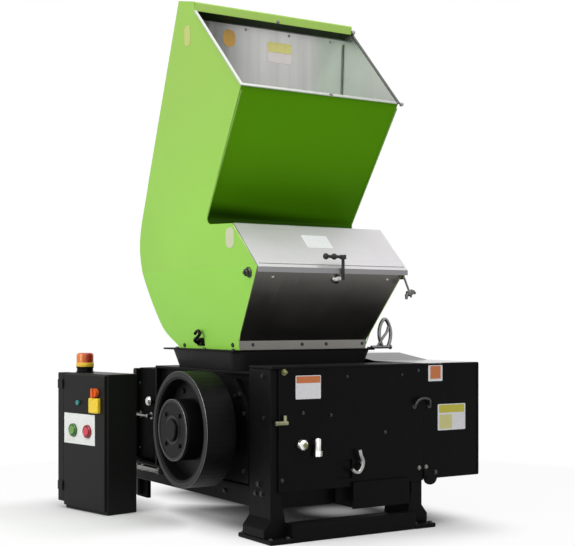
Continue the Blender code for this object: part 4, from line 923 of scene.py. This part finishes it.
def hopper_left_fittings(black, dark, pink):
    """Hook, knob and plates of the left side, and the bolts round the flange."""
    host = "hopper_side_left"
    work = bmesh.new()
    plate(work, on_left(host, 0.765, 0.888), (0.074, 0.04, 0.008), 0.006, 0.002)
    spine = [on_left(host, y, z, out).translation for y, z, out in
             ((0.79, 0.88, 0.004), (0.788, 0.895, 0.022), (0.772, 0.905, 0.028), (0.742, 0.915, 0.03),
              (0.724, 0.93, 0.026), (0.736, 0.944, 0.02), (0.766, 0.942, 0.018), (0.786, 0.93, 0.018))]
    tube(work, smooth_path(spine, 4), 0.008, 12)
    hex_bolt(work, on_left(host, 0.744, 0.882, 0.006), 0.01)
    piece("side_hook", work, "black_paint", black)
    work = bmesh.new()
    knob_y, knob_z = 0.217, 1.218
    lathe(work, on_left(host, knob_y, knob_z), [
        (0.0, 0.0), (0.024, 0.0), (0.025, 0.005), (0.022, 0.008), (0.018, 0.009), (0.018, 0.02),
        (0.014, 0.024), (0.0, 0.024)], 24)
    piece("side_knob", work, "black_paint", dark)
    work = bmesh.new()
    hex_bolt(work, on_left(host, knob_y, knob_z, 0.0235), 0.0085)
    piece("side_knob_bolt", work, "steel", dark)
    work = bmesh.new()
    places = []
    for y, z in ((0.945, 0.868), (0.448, 0.877)):
        places += [on_left(host, y, z), on_right("hopper_side_right", y, z)]
    spots = [(x, y) for x in (-0.398, 0.398) for y in (0.4, 0.69, 0.98)]
    spots += [(x, 1.085) for x in (-0.3, -0.1, 0.1, 0.3)]
    for place in places + [on_top("hopper_flange", x, y) for x, y in spots]:
        hex_bolt(work, place, 0.009)
    piece("flange_bolts", work, "steel", dark)
    work = bmesh.new()
    upper = on_left(host, 0.738, 2.404, 0.0002)
    plate(work, upper, (0.06, 0.1, 0.02), 0.001, 0.0003)
    lower = on_left(host, 0.378, 1.385, 0.0002)
    plate(work, lower, (0.078, 0.096, 0.03, 6), 0.001, 0.0003, 1)
    piece("side_plates", work, "white_paint", *pink)


def hopper_front_fittings(dark, bright, grey):
    host = "hopper_lower_front"
    heads("strip_bolts", dark, [(host, x, 0.878, 0.007) for x in (-0.294, -0.013, 0.13, 0.351)])
    work = bmesh.new()
    lathe(work, on_front(host, 0.036, 1.196), [
        (0.0, 0.0), (0.024, 0.0), (0.025, 0.006), (0.021, 0.014), (0.012, 0.018), (0.0, 0.018)], 24)
    for x in (-0.32, 0.34):
        round_screw(work, on_front(host, x, 1.196), 0.008)
    piece("pivot_block", work, "steel", bright)
    work = bmesh.new()
    for x, y, z in ((0.011, 0.655, 2.52), (0.0425, 0.232, 2.083)):
        name = "hopper_top" if z > 2.3 else "mouth_frame"
        hex_bolt(work, seat(name, (x, y - 0.6, z), REAR), 0.008)
    piece("mouth_bolts", work, "steel", grey)


def knob_and_clamps(dark, bright):
    """Swing bolt with a wing nut at the nose, loop clamp by the flange, and the mouth's end knobs."""
    work = bmesh.new()
    hinge = on_right("hopper_side_right", 0.16, 1.218)
    plate(work, hinge, (0.034, 0.04, 0.006), 0.01, 0.002)
    pin = hinge.translation + Vector((0.012, 0.0, 0.0))
    tip = Vector((0.463, 0.134, 1.108))
    tube(work, [pin, tip], 0.0052, 12)
    along = (tip - pin).normalized()
    side = Vector((0.9, 0.0, 0.44))
    grip = pin + along * 0.088
    lathe(work, facing(grip, along, REAR), [
        (0.0, -0.008), (0.016, -0.008), (0.019, 0.0), (0.016, 0.016), (0.011, 0.02), (0.0, 0.02)], 18)
    for sign in (-1, 1):
        wing = [grip + side * sign * 0.01, grip + side * sign * 0.024 + along * 0.009,
                grip + side * sign * 0.031 + along * 0.023]
        tube(work, wing, [0.0095, 0.0085, 0.0065], 10)
    piece("swing_bolt", work, "steel", dark)
    work = bmesh.new()
    tube(work, [(x, 0.392, 0.8585) for x in (0.408, 0.527)], 0.0085, 14)
    lathe(work, facing((0.527, 0.392, 0.8585), RIGHT),
          [(0.0, -0.002), (0.012, -0.002), (0.013, 0.004), (0.008, 0.009), (0.0, 0.009)], 16)
    loop = [(0.478, 0.392, 0.856), (0.458, 0.39, 0.905), (0.456, 0.388, 0.95), (0.468, 0.386, 0.985),
            (0.487, 0.386, 1.001), (0.508, 0.386, 0.985), (0.527, 0.388, 0.94), (0.526, 0.39, 0.895),
            (0.512, 0.392, 0.856)]
    tube(work, smooth_path(loop, 5), 0.0095, 12)
    brace = [(0.448, 0.392, 0.862), (0.47, 0.384, 0.9), (0.497, 0.38, 0.935), (0.508, 0.382, 0.962)]
    tube(work, smooth_path(brace, 5), 0.007, 10)
    piece("loop_clamp", work, "steel", bright)
    work = bmesh.new()
    for x, y, z, size in ((0.476, 0.65, 2.5215, 0.011), (0.478, 0.236, 2.079, 0.009)):
        lathe(work, facing((x - 0.004, y, z), (1.0, -0.3, 0.0)),
              [(0.0, -0.004), (size, -0.002), (size * 1.15, 0.006), (size * 0.8, 0.014), (0.0, 0.016)], 18)
    piece("mouth_knobs", work, "steel", bright)


def splash_guard_fittings(dark, black):
    pale = printed("plate_pale_yellow", (0.86, 0.8, 0.28))
    pinkish = printed("plate_pinkish_white", (0.86, 0.8, 0.78))
    brown = printed("plate_brown", (0.6, 0.34, 0.06))
    work = bmesh.new()
    place = on_front("hopper_top", 0.063, 2.378, 0.0002)
    for kind, shift in enumerate((0.0265, -0.0265)):
        half = place @ Matrix.Translation((0.0, shift, 0.0))
        plate(work, half, (0.144, 0.051, 0.003), 0.001, 0.0003, kind)
    piece("guard_plate", work, "white_paint", pale, pinkish)
    work = bmesh.new()
    place = on_front("hopper_top", -0.238, 2.4185, 0.0002)
    plate(work, place, (0.072, 0.088, 0.034, 8), 0.0012, 0.0004)
    piece("guard_oval", work, "yellow_plastic", brown)
    heads("guard_screws", dark, [("hopper_top", x, 2.474, 0.007) for x in (-0.4, -0.14, 0.12, 0.38)],
          on_front, round_screw)
    work = bmesh.new()
    seal = []
    for z in (2.14, 2.3, 2.47):
        spot = on_front("hopper_top", half_width(z) - 0.02, z).translation
        seal.append((half_width(z) - 0.0085, spot.y - 0.002, z))
    tube(work, seal, 0.0028, 10)
    piece("corner_seal", work, "black_paint", black)


def lid_fittings(paper, steel):
    inward = (0.0, 0.685, -0.7285)
    work = bmesh.new()
    top = seat("lid", (-0.014, -0.079, 1.7325), inward, 0.0002)
    plate(work, top, (0.146, 0.094, 0.008), 0.0012, 0.0004)
    piece("lid_plate", work, "white_paint", paper, body="lid")
    work = bmesh.new()
    slope = seat("lid", (0.0, -0.203, 1.6167), inward, 0.0001)
    plate(work, slope, (0.835, 0.0045, 0.002), 0.0007, 0.0002)
    piece("lid_groove", work, "black_paint", steel, body="lid")


def side_hems(wear_and_sheen):
    """Pale green strips along the front edges of the hopper's sides, a painted highlight where the edges
    catch the light.
    """
    work = bmesh.new()
    for side, host in ((-1, "hopper_side_left"), (1, "hopper_side_right")):
        for low, high in ((0.872, 1.236), (1.262, 1.44)):
            path = []
            for step in range(7):
                z = low + (high - low) * step / 6
                spot = on_front(host, side * (half_width(z) - 0.0015), z).translation
                path.append((side * (half_width(z) - 0.0002), spot.y + 0.0012, z))
            tube(work, path, 0.0021, 8)
    piece("side_hems", work, "green_paint", wear_and_sheen)


def rail_end_plates(black):
    """Plates that close the front rail's channel at both ends, standing on the foot plates."""
    work = bmesh.new()
    for side in (-1, 1):
        place = facing((side * 0.3449, -0.0163, 0.0512), (side, 0.0, 0.0))
        plate(work, place, (0.055, 0.061, 0.004), 0.005, 0.0015)
    piece("rail_end_plates", work, "black_paint", black)


def cabinet_fittings(foot):
    """Guard rings round the two push buttons, and the beacon's lens on its foot."""
    centres, inward = push_buttons()
    drop = 0.034
    rings = (("start_guard_ring", "green_plastic", (0.045, 0.15, 0.03)),
             ("stop_guard_ring", "red_plastic", (0.27, 0.018, 0.035)))
    for centre, (name, slot, colour) in zip(centres, rings):
        outer = centre - inward * 0.2
        place = seat("button_plate", outer + Vector((0.0, 0.0, drop)), inward)
        bezel = seat("button_plate", outer + Vector((0.0, 0.0, 0.025)), inward)
        height = (place.translation - bezel.translation).dot(inward) + 0.003
        place.translation.z -= drop
        work = bmesh.new()
        lathe_ring(work, place, 0.024, 0.035, height, 40)
        piece(name, work, slot, plastic(name, colour, 0.26), body="cabinet_door")
    low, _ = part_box("beacon_lens")
    x, y, _ = box_middle("beacon_lens")
    work = bmesh.new()
    lathe(work, facing((x, y, low[2]), UP, REAR), [
        (0.0, 0.0), (0.0455, 0.0), (0.047, 0.0025), (0.047, 0.0195), (0.045, 0.022), (0.045, 0.059),
        (0.0435, 0.0665), (0.0385, 0.0715), (0.03, 0.0732), (0.0, 0.0734)], 48)
    lens = piece("beacon_dome", work, "orange_lens", beacon_glass())
    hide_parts("beacon_lens")
    work = bmesh.new()
    low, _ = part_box("beacon_base")
    lathe(work, facing((x, y, low[2]), UP, REAR), [
        (0.0, 0.0), (0.046, 0.0), (0.046, 0.006), (0.043, 0.008), (0.043, 0.022), (0.046, 0.024),
        (0.046, 0.03), (0.0, 0.03)], 48)
    base = piece("beacon_foot", work, "black_paint", foot)
    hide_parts("beacon_base")


def seams(weld):
    """Weld beads where the hopper's front sheet meets its sides."""
    work = bmesh.new()
    steps = 52
    for side in (-1, 1):
        path = []
        for step in range(steps + 1):
            t = 0.02 + 0.96 * step / steps
            y = 0.621 - 0.393 * t
            z = 1.464 + 0.606 * t
            path.append((side * (half_width(z) - 0.0035), y - 0.0008, z - 0.0006))
        tube(work, path, [0.0028 + 0.0006 * (step % 2) for step in range(steps + 1)], 8)
    piece("weld_beads", work, "green_paint", weld)


def fittings():
    dull = bare_steel("dull_steel", (0.24, 0.24, 0.24), 0.34)
    faint = bare_steel("screw_steel", (0.045, 0.045, 0.045), 0.36)
    dark = bare_steel("dark_steel", (0.06, 0.06, 0.06), 0.34)
    bright = bare_steel("zinc_steel", (0.62, 0.62, 0.6), 0.24)
    medium = bare_steel("worn_steel", (0.2, 0.2, 0.19), 0.32)
    smoked = bare_steel("smoked_steel", (0.13, 0.13, 0.125), 0.3)
    brass = bare_steel("yellow_zinc", (0.2, 0.2, 0.09), 0.34)
    black = coat("gloss_black", scaled(BLACK, 1.2), 0.34, 0.07)
    band = cast_iron("wheel_band", (0.012, 0.012, 0.012), 0.2)
    weld = coat("weld_green", scaled(GREEN, 0.8), 0.34, 0.45)
    paper = printed("lid_paper", (0.86, 0.87, 0.88))
    pink = (printed("faded_orange", (0.46, 0.5, 0.14)), printed("faded_pink", (0.54, 0.57, 0.38)))
    body_labels()
    body_bolts(faint, medium, brass)
    guard_fittings(dark, black)
    rear_fittings(bright, dull, medium)
    housing_details(faint, black)
    wheel_details(black, band, smoked)
    hopper_left_fittings(black, dark, pink)
    hopper_front_fittings(dark, bright, dull)
    knob_and_clamps(smoked, dull)
    splash_guard_fittings(dull, coat("seal_coat", (0.21, 0.26, 0.22), 0.45, 0.2, dust=0.04))
    lid_fittings(paper, dull)
    cabinet_fittings(black)
    # Pale green hems: a painted highlight on the hopper's front edges.
    side_hems(coat("hem_painted_highlight", (0.46, 0.64, 0.24), 0.4, 0.25))
    rail_end_plates(black)
    seams(weld)


camera()
lamp("key", (-5.6, 0.6, 3.0), (-0.2, 0.7, 1.1), (3.2, 3.2), 222)
lamp("top", (-0.6, 0.4, 7.5), (-0.4, 0.6, 0.0), (6.4, 6.4), 205)
lamp("front_low", (-2.2, -3.6, 0.5), (0.2, 0.4, 0.0), (1.6, 0.5), 14)
lamp("front_high", (-0.6, -3.2, 5.2), (0.0, 0.0, 0.6), (6.4, 5.0), 145)
surroundings(0.3)
floor()
finish_nodes()
fittings()
bpy.context.scene.view_settings.view_transform = "Standard"
